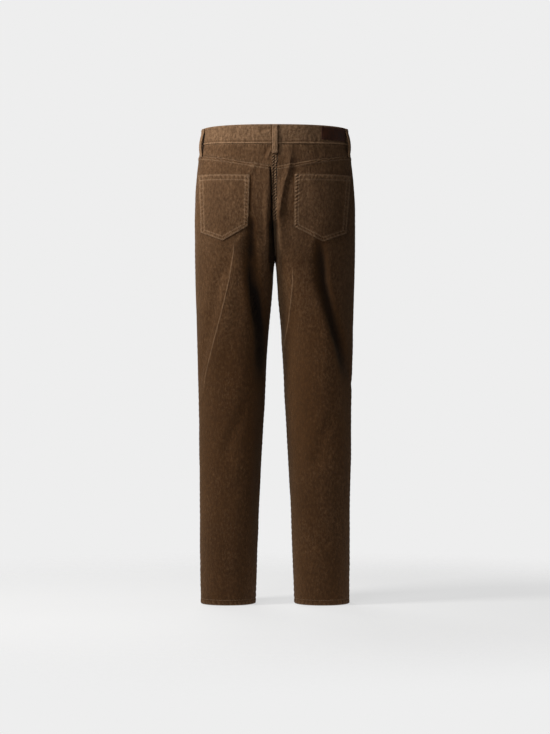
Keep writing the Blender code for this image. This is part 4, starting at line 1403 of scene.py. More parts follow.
def waistband(materials):
    """The band all round, from its upper end at the front to its lower end."""
    angle = np.linspace(BAND_OVER_END, BAND_UNDER_END, BAND_COLUMNS)
    down = crowded(BAND_ROWS, (0, 0.06, 2.0), (1, 0.10, 2.0))
    angle_grid, down_grid = np.meshgrid(angle, down)
    surface, normals, border, worn = band_surface(angle_grid, down_grid)
    along = run_lengths(surface, 1)
    border = np.minimum(border, np.minimum(along, along[:, -1:] - along))
    uv = np.stack([run_lengths(surface, 0), along], axis=-1)
    return wall_piece(
        "waistband_cloth", surface, normals, DOUBLE_CLOTH, border, materials, uv, worn,
    )


# ---------------------------------------------------------------- belt loops

LOOP_COLUMNS = 15
LOOP_ROWS = 56
LOOP_STITCH = 0.0022  # the rows' inset from the loop's edges
LOOP_GATHERS = (0.0058, 61)  # pitch and seed
LOOP_GATHERS_HEIGHT = 0.00022
LOOP_WEAR = (0.98, 0.25)  # even, and along the edges
LOOP_ARCH_LENGTH = 0.006  # by which the arched loop is longer than its height


def loop_frame(loop):
    """Directions across a belt loop and out of it."""
    radius = np.linalg.norm(ring_points(loop.angle, 0.0)[..., :2])
    half_turn = math.degrees(LOOP_WIDTH / 2 / radius)
    start, end = (ring_points(loop.angle + turn, 0.0) for turn in (-half_turn, half_turn))
    across = unit(end - start)
    out = np.array([across[1], -across[0], 0.0])
    return across, out if out @ start > 0 else -out


def loop_stand(share, sewn):
    """How far the loop stands off, from 0 where it is sewn to 1 at mid length."""
    turn = np.clip((share - sewn) / (1 - 2 * sewn), 0, 1)
    return np.sin(np.pi * turn) ** LOOP_SQUARENESS


def loop_surface(loop, share, place):
    """The loop's outside, its directions, the nearest edge and its length. Share runs down it,
    place across it from -0.5 to 0.5."""
    top = ring_edge(BAND_TOP, loop.angle) - LOOP_TOP_DROP
    foot = ring_edge(BAND_FOOT, loop.angle) - loop.foot_drop
    length = top - foot
    across, out = loop_frame(loop)
    arch = loop_stand(share, LOOP_FOOT / length)
    z = top - length * share
    seat = LAYER_GAP + 0.0002 + BAND_PROUD * (share < 1)
    stand = seat + DOUBLE_CLOTH + (CENTRE_LOOP_STAND if loop.angle == 90.0 else LOOP_STAND) * arch
    base = ring_points(np.full(share.shape, loop.angle), z) + out * stand[..., None]
    edge = (0.5 - np.abs(place)) * LOOP_WIDTH
    along = length * share
    height = pressed(edge - LOOP_STITCH, LOOP_GROOVE)
    gathers = LOOP_GATHERS_HEIGHT * pucker(along, edge, *LOOP_GATHERS)
    height = height + gathers * bell(edge - 0.002, 0.003)
    for tack in (0.0025, length - 0.0030):
        height = height + pressed(along - tack, LOOP_TACK_GROOVE)
    surface = base + across * (place * LOOP_WIDTH)[..., None] + out * height[..., None]
    border = np.minimum(edge, np.minimum(along, length - along))
    return surface, np.broadcast_to(out, surface.shape), border, length


def belt_loop(loop, materials):
    """One loop, sewn at both ends and standing off between them."""
    share = crowded_ends(LOOP_ROWS, 0.05, 2.0)
    place = crowded_ends(LOOP_COLUMNS, 0.15, 2.0) - 0.5
    place_grid, share_grid = np.meshgrid(place, share)
    surface, directions, border, length = loop_surface(loop, share_grid, place_grid)
    uv = np.stack([place_grid * LOOP_WIDTH, share_grid * length], axis=-1)
    edge = LOOP_WIDTH / 2 - np.abs(place_grid * LOOP_WIDTH)
    worn = LOOP_WEAR[0] + LOOP_WEAR[1] * bell(edge, 0.0018)
    return wall_piece(loop.name, surface, directions, DOUBLE_CLOTH, border, materials, uv, worn)


# ---------------------------------------------------------------- back pockets and patch

POCKET_COLUMNS = 104
POCKET_ROWS = 118
POCKET_EDGE_STITCHES = (0.0018, 0.0085)
POCKET_HEM_STITCHES = (0.0020, 0.0115)
POCKET_TURNED_IN = (0.0095, 0.0115)  # distances over which the turned-in edge ends
POCKET_TURNED_HEIGHT = 0.0005
POCKET_HEM = (0.0130, 0.0150)  # and over which the hem at the mouth ends
POCKET_HEM_HEIGHT = 0.0006
POCKET_GATHERING = 0.0012
# Pitch, seed, slant and width of the gathers along the sides, the foot and the top.
POCKET_GATHERS = ((0.0078, 70, 0.5, 0.005), (0.0080, 73, 0.5, 0.005), (0.0090, 75, 0.3, 0.006))


def pocket_outline(corners):
    """Functions of the share across (0 inner, 1 outer) for the top and the pointed foot."""
    upper_in, upper_out, lower_out, tip, lower_in = (np.array(corner) for corner in corners)
    tip_share = np.linalg.norm(tip - lower_in)
    tip_share = tip_share / (tip_share + np.linalg.norm(lower_out - tip))

    def top(across):
        return upper_in + (upper_out - upper_in) * across[..., None]

    def foot(across):
        first = np.clip(across / tip_share, 0, 1)[..., None]
        second = np.clip((across - tip_share) / (1 - tip_share), 0, 1)[..., None]
        return lower_in + (tip - lower_in) * first + (lower_out - tip) * second

    return top, foot


def pocket_places(side, across, down):
    """Where on the back each share across and down the pocket lies, as x and z."""
    top, foot = pocket_outline(BACK_POCKETS[side])
    return top(across) + (foot(across) - top(across)) * down[..., None]


def pocket_size(side, across):
    """The pocket's width at its top, and its height at each share across."""
    corners = BACK_POCKETS[side]
    top, foot = (pocket_places(side, across, 0 * across + down) for down in (0, 1))
    return abs(corners[1][0] - corners[0][0]), np.abs(foot - top)[..., 1]


def pocket_surface(cloth, across, down):
    """The pocket's outside, its directions, the distances to its sides, top and foot, and wear with painted light and
    shade.
    """
    spots = pocket_places(cloth.side, across, down)
    share = cloth.share_at(spots[..., 0], spots[..., 1])
    ground, normals, _, worn = cloth.surface(share, spots[..., 1])
    width, tall = pocket_size(cloth.side, across)
    inner, outer = across * width, (1 - across) * width
    top, foot = down * tall, (1 - down) * tall
    side_gap = np.minimum(inner, outer)
    seam_gap = np.minimum(side_gap, foot)
    turned_in = falling(seam_gap, *POCKET_TURNED_IN) * POCKET_TURNED_HEIGHT
    height = np.maximum(turned_in, falling(top, *POCKET_HEM) * POCKET_HEM_HEIGHT)
    rows = [(seam_gap - row, POCKET_EDGE_GROOVE) for row in POCKET_EDGE_STITCHES]
    rows += [(top - row, POCKET_HEM_GROOVE) for row in POCKET_HEM_STITCHES]
    for away, groove in rows:
        height = height + pressed(away, groove)
    along_side, along_foot, along_top = (
        pucker(along, away, pitch, seed + cloth.side, slant=slant) * bell(away - reach, reach)
        for (along, away), (pitch, seed, slant, reach) in zip(
            ((top, side_gap), (inner, foot), (inner, top)), POCKET_GATHERS,
        )
    )
    inmost = falling(across, 0.2, 0.5)
    gathers = along_side * (0.45 + 0.55 * inmost) + 0.40 * along_foot + 0.45 * along_top
    lift = LAYER_GAP + CLOTH + height + POCKET_GATHERING * gathers
    near = bell(seam_gap, 0.009) + bell(top, 0.012)
    # paler with wear near the edges and the top; the gathers' crests paler and hollows darker, wear with painted light
    # and shade
    worn = worn + 0.04 + 0.14 * np.clip(near, 0, 1) + 0.36 * np.clip(gathers, -0.9, 1)
    # a painted highlight on the cloth that rises beside each row of stitches
    for away, _ in rows:
        worn = worn + 0.38 * bell(away - 0.0013, 0.0011)
    return ground + normals * lift[..., None], normals, inner, outer, top, foot, worn


def back_pocket(name, cloth, materials):
    """A patch pocket on the back panel."""
    across = crowded_ends(POCKET_COLUMNS, 0.06, 2.5)
    down = crowded_ends(POCKET_ROWS, 0.05, 2.5)
    across_grid, down_grid = np.meshgrid(across, down)
    surface, normals, inner, outer, top, foot, worn = pocket_surface(cloth, across_grid, down_grid)
    border = np.minimum(np.minimum(inner, outer), np.minimum(top, foot))
    return wall_piece(name, surface, normals, CLOTH, border, materials, worn=worn)


PATCH_COLUMNS = 48
PATCH_ROWS = 30
PATCH_STITCH = 0.0022


def patch_surface(place, down):
    """The leather patch's outside, from 0 to 1 across (towards the side) and down."""
    x = PATCH_X[1] + (PATCH_X[0] - PATCH_X[1]) * place
    z = PATCH_Z[1] + (PATCH_Z[0] - PATCH_Z[1]) * down
    angle = halve(
        np.full(x.shape, 90.0), np.full(x.shape, 180.0),
        lambda turn: ring_points(turn, z, BAND_PROUD)[..., 0] <= x,
    )
    top, foot = band_edges(angle)
    ground, normals, *_ = band_surface(angle, (z - top) / (foot - top))
    edge = np.minimum(
        np.minimum(place, 1 - place) * (PATCH_X[1] - PATCH_X[0]),
        np.minimum(down, 1 - down) * (PATCH_Z[1] - PATCH_Z[0]),
    )
    lift = LAYER_GAP + LEATHER + pressed(edge - PATCH_STITCH, PATCH_GROOVE)
    return ground + normals * lift[..., None], normals, edge


def waist_patch(material):
    """The bare leather patch on the band."""
    place = crowded_ends(PATCH_COLUMNS, 0.06, 2.0)
    down = crowded_ends(PATCH_ROWS, 0.08, 2.0)
    place_grid, down_grid = np.meshgrid(place, down)
    surface, normals, edge = patch_surface(place_grid, down_grid)
    return wall_piece("waist_patch_leather", surface, normals, LEATHER, edge, (material, material))


# ---------------------------------------------------------------- button

BUTTON_Z = 0.0
BUTTON_SEGMENTS = 56
# Radius share and height of the turned outline, from the middle of the face to the back.
BUTTON_PROFILE = (
    (0.001, 0.00285), (0.20, 0.00288), (0.42, 0.0028), (0.50, 0.00262), (0.56, 0.0029),
    (0.70, 0.0033), (0.84, 0.0036), (0.93, 0.0035), (0.985, 0.0030), (1.0, 0.0023),
    (0.97, 0.0015), (0.88, 0.0011), (0.55, 0.0009), (0.50, 0.0), (0.001, 0.0),
)


def waist_button(material):
    """The turned button on the band's upper end."""
    radius = np.array([row[0] for row in BUTTON_PROFILE])[:, None] * BUTTON_RADIUS
    height = np.array([row[1] for row in BUTTON_PROFILE])[:, None]
    turn = np.linspace(0, 2 * np.pi, BUTTON_SEGMENTS, endpoint=False)[None]
    upper, lower = (
        ring_points(-90.0, BUTTON_Z + reach, BAND_PROUD + BAND_LAP)
        for reach in (BUTTON_RADIUS, -BUTTON_RADIUS)
    )
    up = unit(upper - lower)
    out = np.array([0.0, -up[2], up[1]])
    centre = np.array([0.0, (upper[1] + lower[1]) / 2 - LAYER_GAP, BUTTON_Z])
    right = np.array([1.0, 0.0, 0.0])
    points = (
        centre + (radius * np.cos(turn))[..., None] * right
        + (radius * np.sin(turn))[..., None] * up + (height + 0 * turn)[..., None] * out
    )
    faces = tube_faces(*points.shape[:2])
    button = make_mesh("waist_button_turned", points.reshape(-1, 3), faces, materials=(material,))
    turn_outwards(button, fill=True)
    button.data.shade_smooth()
    button.data.set_sharp_from_angle(angle=SHARP_ANGLE)
    return button


# ---------------------------------------------------------------- sewing

STITCH = 0.0030
STITCH_GAP = 0.0009
THREAD = 0.00030
STITCH_SIDES = 5
STITCH_FLATNESS = 1.15
# Place along a stitch (-1 to 1), its radius share, and how far it rises off the cloth.
STITCH_RINGS = (
    (-1.0, 0.25, -0.6), (-0.8, 0.85, 0.1), (0.0, 1.0, 0.45), (0.8, 0.85, 0.1), (1.0, 0.25, -0.6),
)
TACK_PITCH = 0.0008
TACK_POINTS = 24
TACK_WIDTH = 0.0022


def stitches_along(row):
    """Middles, half runs and directions of the stitches along a row of points and directions."""
    line, normals = row[:2]
    arc = run_lengths(line, 0)
    count = max(1, int(arc[-1] / (STITCH + STITCH_GAP)))
    starts = (np.arange(count) + 0.5) * arc[-1] / count
    first, last = (read_along(starts + shift, arc, line) for shift in (-STITCH / 2, STITCH / 2))
    return (first + last) / 2, (last - first) / 2, unit(read_along(starts, arc, normals))


def stitches_across(row, length, pitch=TACK_PITCH):
    """A bar tack or buttonhole edge: close stitches that cross a row of points and directions."""
    line, normals = row[:2]
    arc = run_lengths(line, 0)
    starts = np.linspace(0, arc[-1], max(2, int(arc[-1] / pitch)))
    middle = read_along(starts, arc, line)
    normal = unit(read_along(starts, arc, normals))
    runs = unit(np.cross(np.gradient(middle, axis=0), normal)) * length / 2
    return middle, runs, normal


def stitch_mesh(name, parts, material):
    """One mesh of all the given stitches."""
    centres, runs, ups = (np.concatenate(values) for values in zip(*parts))
    wide = unit(np.cross(runs, ups))
    turn = np.arange(STITCH_SIDES) * 2 * np.pi / STITCH_SIDES
    layers = []
    sides = wide[:, None] * np.cos(turn)[None, :, None] * STITCH_FLATNESS
    sides = sides + ups[:, None] * np.sin(turn)[None, :, None]
    for place, size, rise in STITCH_RINGS:
        middle = centres + runs * place + ups * (THREAD * rise)
        layers.append(middle[:, None] + sides * (THREAD * size))
    points = np.stack(layers, axis=1)
    one = STITCH_SIDES * len(STITCH_RINGS)
    quads = tube_faces(len(STITCH_RINGS), STITCH_SIDES)
    faces = (quads[None] + (np.arange(len(centres)) * one)[:, None, None]).reshape(-1, 4)
    thread = make_mesh(name, points.reshape(-1, 3), faces, materials=(material,))
    turn_outwards(thread, fill=True)
    thread.data.shade_smooth()
    return thread


ROW_STEP = 0.0012


def row_on_cloth(cloth, share, z):
    """A row of points and directions on the cloth."""
    return cloth.surface(np.asarray(share, float), np.asarray(z, float))


def row_beside(cloth, share, z, gap, trim=0.0):
    """A row a fixed gap from a line on the cloth. A positive gap is to the line's left as it
    runs, where share counts across and height up."""
    share, z = np.broadcast_arrays(np.asarray(share, float), np.asarray(z, float))
    arc = run_lengths(cloth.form(share, z), 0)
    even = np.linspace(trim, arc[-1] - trim, max(8, int(arc[-1] / ROW_STEP)))
    share, z = np.interp(even, arc, share), np.interp(even, arc, z)
    low, high = np.clip(share - SHARE_STEP, 0, 1), np.clip(share + SHARE_STEP, 0, 1)
    girth = np.linalg.norm(cloth.form(high, z) - cloth.form(low, z), axis=1) / (high - low)
    drop = cloth.form(share, z + MM / 2) - cloth.form(share, z - MM / 2)
    drop = np.linalg.norm(drop, axis=1) / MM
    run_x, run_z = np.gradient(share) * girth, np.gradient(z) * drop
    length = np.maximum(np.hypot(run_x, run_z), 1e-9)
    share = np.clip(share - gap * run_z / length / girth, 0, 1)
    return row_on_cloth(cloth, share, z + gap * run_x / length / drop)


def seam_rows(cloth, top, foot, gaps, count=2400):
    """Rows beside the panel's inner edge, from one height to another."""
    z = np.linspace(top, foot, count)
    return [row_beside(cloth, np.ones(z.shape), z, -gap) for gap in gaps]


def hem_row(cloth):
    """The row that holds the turned-up hem."""
    return row_on_cloth(cloth, np.linspace(0.003, 0.997, 260), np.full(260, HEM_Z + HEM_STITCH))


def back_rows(cloth):
    """A back panel's rows: felled yoke seam, felled centre seam on the right, inseam and hem."""
    rows = [row_beside(cloth, EVEN, back_top(EVEN), -gap, trim=0.002) for gap in FELL_ROWS]
    rows += seam_rows(cloth, CROTCH_Z - 0.010, HEM_Z + HEM_DEPTH, FELL_ROWS)
    rows.append(hem_row(cloth))
    if cloth.side == RIGHT:
        rows += seam_rows(cloth, back_top(1.0) - 0.004, CROTCH_Z + 0.012, FELL_ROWS)
    return [stitches_along(row) for row in rows]


def yoke_rows(cloth):
    """The centre seam's two rows carried up the right half of the yoke."""
    top, foot = band_foot(BACK, 1.0) - 0.001, yoke_seam(1.0) + 0.001
    return [stitches_along(row) for row in seam_rows(cloth, top, foot, FELL_ROWS, 200)]


SCOOP_ROWS = (0.0020, 0.0085)
FLY_ROWS = (0.0, 0.0065)
FLY_WIDTH = 0.034
FLY_TURN_Z = (-0.132, -0.174)
FLY_EDGE_ROW = 0.0022
FLY_SEAM_ROW = 0.0078
FLY_BAR = (0.004, 0.011)


def fly_row(cloth, inset):
    """The fly's J: down beside the fly edge, then round to it at the foot."""
    straight = np.linspace(0, 1, 200)
    turn = np.linspace(0, np.pi / 2, 90)[1:]
    start, (low, foot) = band_foot(FRONT, 1.0) - 0.003, FLY_TURN_Z
    z = np.concatenate([
        start + (low - start) * straight, low + (foot + inset - low) * np.sin(turn),
    ])
    x = np.concatenate([0 * straight + 1, np.cos(turn)]) * (FLY_WIDTH - inset)
    return row_on_cloth(cloth, cloth.share_at(x, z), z)


def front_rows(cloth):
    """A front panel's rows: pocket mouth, hem, and on the left the fly and the seam below it."""
    mouth = np.linspace(0.012, POCKET_MOUTH, 700)
    rows = [row_beside(cloth, mouth, front_top(mouth), -gap, trim=0.002) for gap in SCOOP_ROWS]
    parts = [stitches_along(row) for row in (*rows, hem_row(cloth))]
    for place in (0.030, POCKET_MOUTH - 0.012):
        share = np.full(TACK_POINTS, place)
        height = front_top(place) - np.linspace(0.0010, 0.0080, TACK_POINTS)
        parts.append(stitches_across(row_on_cloth(cloth, share, height), 0.0020))
    if cloth.side == LEFT:
        foot = CROTCH_Z + 0.010
        rows = [fly_row(cloth, inset) for inset in FLY_ROWS]
        rows += seam_rows(cloth, band_foot(FRONT, 1.0) - 0.003, foot, (FLY_EDGE_ROW,))
        rows += seam_rows(cloth, FLY_TURN_Z[1] - 0.004, foot, (FLY_SEAM_ROW,))
        parts += [stitches_along(row) for row in rows]
        height = np.full(TACK_POINTS, FLY_TURN_Z[1] - 0.001)
        share = cloth.share_at(np.linspace(*FLY_BAR, TACK_POINTS), height)
        parts.append(stitches_across(row_on_cloth(cloth, share, height), TACK_WIDTH))
    return parts


def pocket_rows(cloth):
    """A back pocket's stitches: two rows round the sides and foot, two under the top, and tacks."""
    even = np.linspace(0, 1, 260)
    width, _ = pocket_size(cloth.side, even)
    row = partial(pocket_surface, cloth)

    def drop(across, gap):
        """A gap from the top or the foot as a share of the height there."""
        return gap / pocket_size(cloth.side, across)[1]

    parts = []
    for gap in POCKET_EDGE_STITCHES:
        inner = gap / width
        for across in (np.full(even.shape, inner), np.full(even.shape, 1 - inner)):
            parts.append(stitches_along(row(across, even * (1 - drop(across, gap)))))
        across = inner + (1 - 2 * inner) * even
        parts.append(stitches_along(row(across, 1 - drop(across, gap))))
    for gap in POCKET_HEM_STITCHES:
        across = 0.01 + 0.98 * even
        parts.append(stitches_along(row(across, drop(across, gap))))
    for middle in (0.045, 0.955):
        across, down = np.full(TACK_POINTS, middle), np.linspace(0.012, 0.075, TACK_POINTS)
        parts.append(stitches_across(row(across, down), TACK_WIDTH))
    return parts


END_ROW_ANGLE = 1.2  # from the band's upper end to its row
FRONT_RADIUS = 0.11
HOLE_LENGTH = 0.0210
HOLE_WIDTH = 0.0032
HOLE_MIDDLE = 0.0070


def band_rows():
    """Rows along the waistband's top and foot, and round its lapping end and buttonhole."""
    angle = np.linspace(BAND_OVER_END + END_ROW_ANGLE, BAND_UNDER_END - 14, 1500)
    top, foot = band_edges(angle)
    parts = []
    for down in (BAND_TOP_ROW / (top - foot), 1 - BAND_FOOT_ROW / (top - foot)):
        parts.append(stitches_along(band_surface(angle, down)))
    end = np.full(60, BAND_OVER_END + END_ROW_ANGLE)
    parts.append(stitches_along(band_surface(end, np.linspace(0.10, 0.84, 60))))
    turn = np.linspace(0, 2 * np.pi, 160)
    spread = HOLE_LENGTH / 2 * np.cos(turn)
    angle = -90 + np.degrees((HOLE_MIDDLE + spread) / FRONT_RADIUS)
    z = BUTTON_Z + HOLE_WIDTH / 2 * np.sin(turn)
    top, foot = band_edges(angle)
    parts.append(stitches_across(band_surface(angle, (top - z) / (top - foot)), 0.0020, 0.0006))
    return parts


def loop_rows(loop):
    """A belt loop's two rows, and a bar tack at its top and foot."""
    parts = []
    share = np.linspace(0.03, 0.97, 120)
    for place in (-0.5 + LOOP_STITCH / LOOP_WIDTH, 0.5 - LOOP_STITCH / LOOP_WIDTH):
        parts.append(stitches_along(loop_surface(loop, share, np.full(share.shape, place))))
    place = np.linspace(-0.42, 0.42, TACK_POINTS)
    length = loop_surface(loop, share, 0 * share)[3]
    for tack in (0.0030, length - 0.0034):
        row = loop_surface(loop, np.full(place.shape, tack / length), place)
        parts.append(stitches_across(row, TACK_WIDTH))
    return parts


def patch_rows():
    """One row round the patch, just inside its edge."""
    width, height = PATCH_X[1] - PATCH_X[0], PATCH_Z[1] - PATCH_Z[0]
    a, b = PATCH_STITCH / width, PATCH_STITCH / height
    even = np.linspace(0, 1, 90)
    across, upright = a + (1 - 2 * a) * even, b + (1 - 2 * b) * even
    spots = [(across, 0 * even + down) for down in (b, 1 - b)]
    spots += [(0 * even + place, upright) for place in (a, 1 - a)]
    return [stitches_along(patch_surface(*spot)) for spot in spots]


# ---------------------------------------------------------------- materials


class Nodes:
    """Short calls for the nodes that the materials use."""

    def __init__(self, tree):
        self.tree = tree

    def add(self, kind, **settings):
        node = self.tree.nodes.new(kind)
        for key, value in settings.items():
            setattr(node, key, value)
        return node

    def attribute(self, name):
        return self.add("ShaderNodeAttribute", attribute_name=name).outputs["Fac"]

    def uv(self):
        return self.add("ShaderNodeUVMap", uv_map="Cloth").outputs[0]

    def place(self):
        return self.add("ShaderNodeTexCoord").outputs["Object"]

    def link(self, source, target):
        self.tree.links.new(source, target)

    def feed(self, target, value):
        if isinstance(value, bpy.types.NodeSocket):
            self.link(value, target)
        else:
            target.default_value = value

    def math(self, operation, first, second=0.0, third=0.0, clamp=False):
        node = self.add("ShaderNodeMath", operation=operation, use_clamp=clamp)
        for socket, value in zip(node.inputs, (first, second, third)):
            self.feed(socket, value)
        return node.outputs[0]

    def times(self, first, second, clamp=False):
        return self.math("MULTIPLY", first, second, clamp=clamp)

    def less(self, first, second):
        return self.math("SUBTRACT", first, second)

    def times_plus(self, first, second, third, clamp=False):
        """first * second + third."""
        return self.math("MULTIPLY_ADD", first, second, third, clamp)

    def mix(self, share, first, second, blend="MIX"):
        node = self.add("ShaderNodeMix", data_type="RGBA", blend_type=blend)
        self.feed(node.inputs[0], share)
        self.feed(node.inputs[6], first)
        self.feed(node.inputs[7], second)
        return node.outputs[2]

    def shaded(self, colour, share):
        """The colour times a number, the same for red, green and blue."""
        node = self.add("ShaderNodeCombineColor")
        for socket in node.inputs[:3]:
            self.link(share, socket)
        return self.mix(1.0, colour, node.outputs[0], "MULTIPLY")

    def noise(self, vector, scale, detail=2.0, roughness=0.5):
        node = self.add("ShaderNodeTexNoise")
        self.feed(node.inputs["Vector"], vector)
        node.inputs["Scale"].default_value = scale
        node.inputs["Detail"].default_value = detail
        node.inputs["Roughness"].default_value = roughness
        node.inputs["Distortion"].default_value = 0.0
        return node.outputs[0]

    def stretched(self, vector, x, y, z=1.0):
        node = self.add("ShaderNodeVectorMath", operation="MULTIPLY")
        self.feed(node.inputs[0], vector)
        node.inputs[1].default_value = (x, y, z)
        return node.outputs[0]

    def rerange(self, value, low, high, new_low=0.0, new_high=1.0):
        node = self.add("ShaderNodeMapRange", interpolation_type="SMOOTHSTEP")
        self.feed(node.inputs[0], value)
        for index, number in zip((1, 2, 3, 4), (low, high, new_low, new_high)):
            node.inputs[index].default_value = number
        return node.outputs[0]

    def bump(self, height, distance, strength=1.0, normal=None):
        node = self.add("ShaderNodeBump")
        node.inputs["Strength"].default_value = strength
        node.inputs["Distance"].default_value = distance
        self.feed(node.inputs["Height"], height)
        if normal is not None:
            self.link(normal, node.inputs["Normal"])
        return node.outputs[0]

    def finish(self, shader, colour, normal, roughness, values=()):
        """Join a material's colour, normal and roughness, and set its fixed values."""
        self.link(colour, shader.inputs["Base Color"])
        self.link(normal, shader.inputs["Normal"])
        self.link(roughness, shader.inputs["Roughness"])
        for name, value in values:
            shader.inputs[name].default_value = value


def new_material(name):
    """A material, short calls for its nodes, and its shader."""
    material = bpy.data.materials.new(name)
    material.use_nodes = True
    tree = material.node_tree
    return material, Nodes(tree), tree.nodes["Principled BSDF"]


def rgb(red, green, blue):
    return (red, green, blue, 1.0)


WALE = 0.00150
WALE_WANDER = 1.6  # wales by which the ribs drift to and fro
PILE = rgb(0.067, 0.0280, 0.0080)
PILE_LIGHT = rgb(0.275, 0.163, 0.090)
RIB_SHADOW = rgb(0.018, 0.0080, 0.0030)
# near black, for painted shade in the cleft and the deep troughs
PAINTED_SHADE = rgb(0.0040, 0.0018, 0.0008)
ROPE_PAINTED_LIGHT = (1.40, 0.24)  # painted light and shade of the twist, and painted light along the whole seam
# painted highlight along each thin crease's ridge
THIN_CREASE_HIGHLIGHT = 0.42
CREASE_DRAWN = (0.0002, 0.0024)  # distances over which a thin crease fades
FULL_TURN = 2 * math.pi


def corduroy_material(name):
    """Fine soft ribs with a nap that lies unevenly, paler with wear and painted light, darker with painted shade in
    the clefts, the troughs and the grooves between the ribs.
    """
    material, n, shader = new_material(name)
    uv, place = n.uv(), n.place()
    worn, rope = n.attribute("worn"), n.attribute("rope")
    # the centre seam's twist painted in as light and shade, and painted light along the whole seam
    twist = n.times(n.math("SINE", n.times(n.attribute("rope_phase"), FULL_TURN)), rope)
    worn = n.math("ADD", worn, n.times_plus(twist, ROPE_PAINTED_LIGHT[0], n.times(rope, ROPE_PAINTED_LIGHT[1])))

    across = n.add("ShaderNodeSeparateXYZ")
    n.link(uv, across.inputs[0])
    phase = n.times_plus(across.outputs[0], 1 / WALE, n.times(n.noise(uv, 22.0), WALE_WANDER))
    half = n.math("ABSOLUTE", n.less(n.math("FRACT", phase), 0.5))
    rib = n.less(1.0, n.math("POWER", n.times(half, 2.0), 2.6))

    fibre = n.noise(n.stretched(uv, 2600.0, 900.0), 1.0, 3.0, 0.65)
    streak = n.noise(n.stretched(uv, 260.0, 150.0), 1.0, 4.0, 0.72)
    blotch = n.noise(n.stretched(place, 1.0, 1.0, 0.5), 240.0, 3.0, 0.68)
    cloud = n.noise(n.stretched(place, 1.0, 1.0, 0.45), 26.0, 3.0, 0.6)
    spread = n.noise(n.stretched(place, 1.0, 1.0, 0.5), 7.0)

    crushed = n.times(n.rerange(streak, 0.40, 0.68), n.rerange(cloud, 0.30, 0.72, 0.3, 1.0))
    nap = n.times_plus(n.less(crushed, 0.35), 0.34, n.times(n.less(blotch, 0.5), 0.46))
    nap = n.times(nap, n.times_plus(worn, 1.5, 0.60))
    # a painted highlight along each thin crease, with a bump
    away = n.math("ABSOLUTE", n.attribute("crease_side"))
    crease = n.times(n.rerange(away, *CREASE_DRAWN, 1.0, 0.0), n.attribute("crease"))
    pale = n.times_plus(crease, THIN_CREASE_HIGHLIGHT, n.math("ADD", nap, worn), clamp=True)
    shade = n.times_plus(fibre, 0.5, n.rerange(spread, 0.3, 0.7, 0.60, 0.84))
    shade = n.times(shade, n.rerange(blotch, 0.30, 0.70, 0.78, 1.22))
    colour = n.shaded(n.mix(pale, PILE, PILE_LIGHT), shade)
    colour = n.mix(n.times(n.less(1.0, rib), 0.75), colour, RIB_SHADOW)
    # painted shade: negative values darken the cloth towards near black
    colour = n.mix(n.times(worn, -1.35, clamp=True), colour, PAINTED_SHADE)

    normal = n.bump(crease, 0.00090)
    normal = n.bump(twist, 0.00120, 1.0, normal)
    normal = n.bump(n.times_plus(blotch, 0.9, streak), 0.00095, 1.0, normal)
    normal = n.bump(rib, 0.00036, 1.0, normal)
    normal = n.bump(fibre, 0.00016, 0.9, normal)
    n.finish(shader, colour, normal, n.times_plus(fibre, 0.12, 0.80), (
        ("Specular IOR Level", 0.14), ("Sheen Weight", 0.14), ("Sheen Roughness", 0.45),
        ("Sheen Tint", rgb(0.85, 0.52, 0.28)),
    ))
    return material


def inside_material():
    """The cloth's plain back: a fine flat weave, matt."""
    material, n, shader = new_material("corduroy_inside")
    uv = n.uv()
    weave = n.noise(n.stretched(uv, 1500.0, 1500.0), 1.0)
    cloud = n.noise(n.stretched(uv, 40.0, 25.0), 1.0, 3.0)
    dark, light = rgb(0.050, 0.026, 0.014), rgb(0.105, 0.062, 0.036)
    colour = n.mix(n.rerange(weave, 0.35, 0.65), dark, light)
    colour = n.shaded(colour, n.rerange(cloud, 0.3, 0.7, 0.75, 1.0))
    roughness = n.rerange(weave, 0.2, 0.8, 0.84, 0.95)
    values = (("Specular IOR Level", 0.15),)
    n.finish(shader, colour, n.bump(weave, 0.00012, 0.8), roughness, values)
    return material


def thread_material(name, dark, light):
    """Twisted sewing thread, a little patchy along its length."""
    material, n, shader = new_material(name)
    place = n.place()
    twist, patchy = n.noise(place, 2400.0, 1.0), n.noise(place, 60.0)
    colour = n.mix(n.rerange(twist, 0.35, 0.65), dark, light)
    colour = n.shaded(colour, n.rerange(patchy, 0.3, 0.7, 0.7, 1.0))
    roughness = n.rerange(patchy, 0.2, 0.8, 0.55, 0.72)
    n.finish(shader, colour, n.bump(twist, 0.00008, 0.7), roughness)
    return material


def leather_material():
    """Smooth leather with a fine grain, clouded, and paler where its edge is rubbed."""
    material, n, shader = new_material("patch_leather")
    place, worn = n.place(), n.attribute("worn")
    cells = n.add("ShaderNodeTexVoronoi", feature="DISTANCE_TO_EDGE")
    n.link(place, cells.inputs["Vector"])
    cells.inputs["Scale"].default_value = 900.0
    grain = n.rerange(cells.outputs[0], 0.0, 0.16)
    cloud = n.noise(place, 85.0, 4.0, 0.6)
    dark, light = rgb(0.036, 0.0125, 0.0065), rgb(0.064, 0.0215, 0.0110)
    colour = n.mix(n.rerange(cloud, 0.3, 0.7), dark, light)
    colour = n.mix(n.times(worn, 0.8), colour, rgb(0.110, 0.040, 0.024))
    normal = n.bump(n.times_plus(cloud, 0.8, grain), 0.00010, 0.8)
    roughness = n.rerange(cloud, 0.25, 0.75, 0.50, 0.66)
    n.finish(shader, colour, normal, roughness, (("Specular IOR Level", 0.12),))
    return material


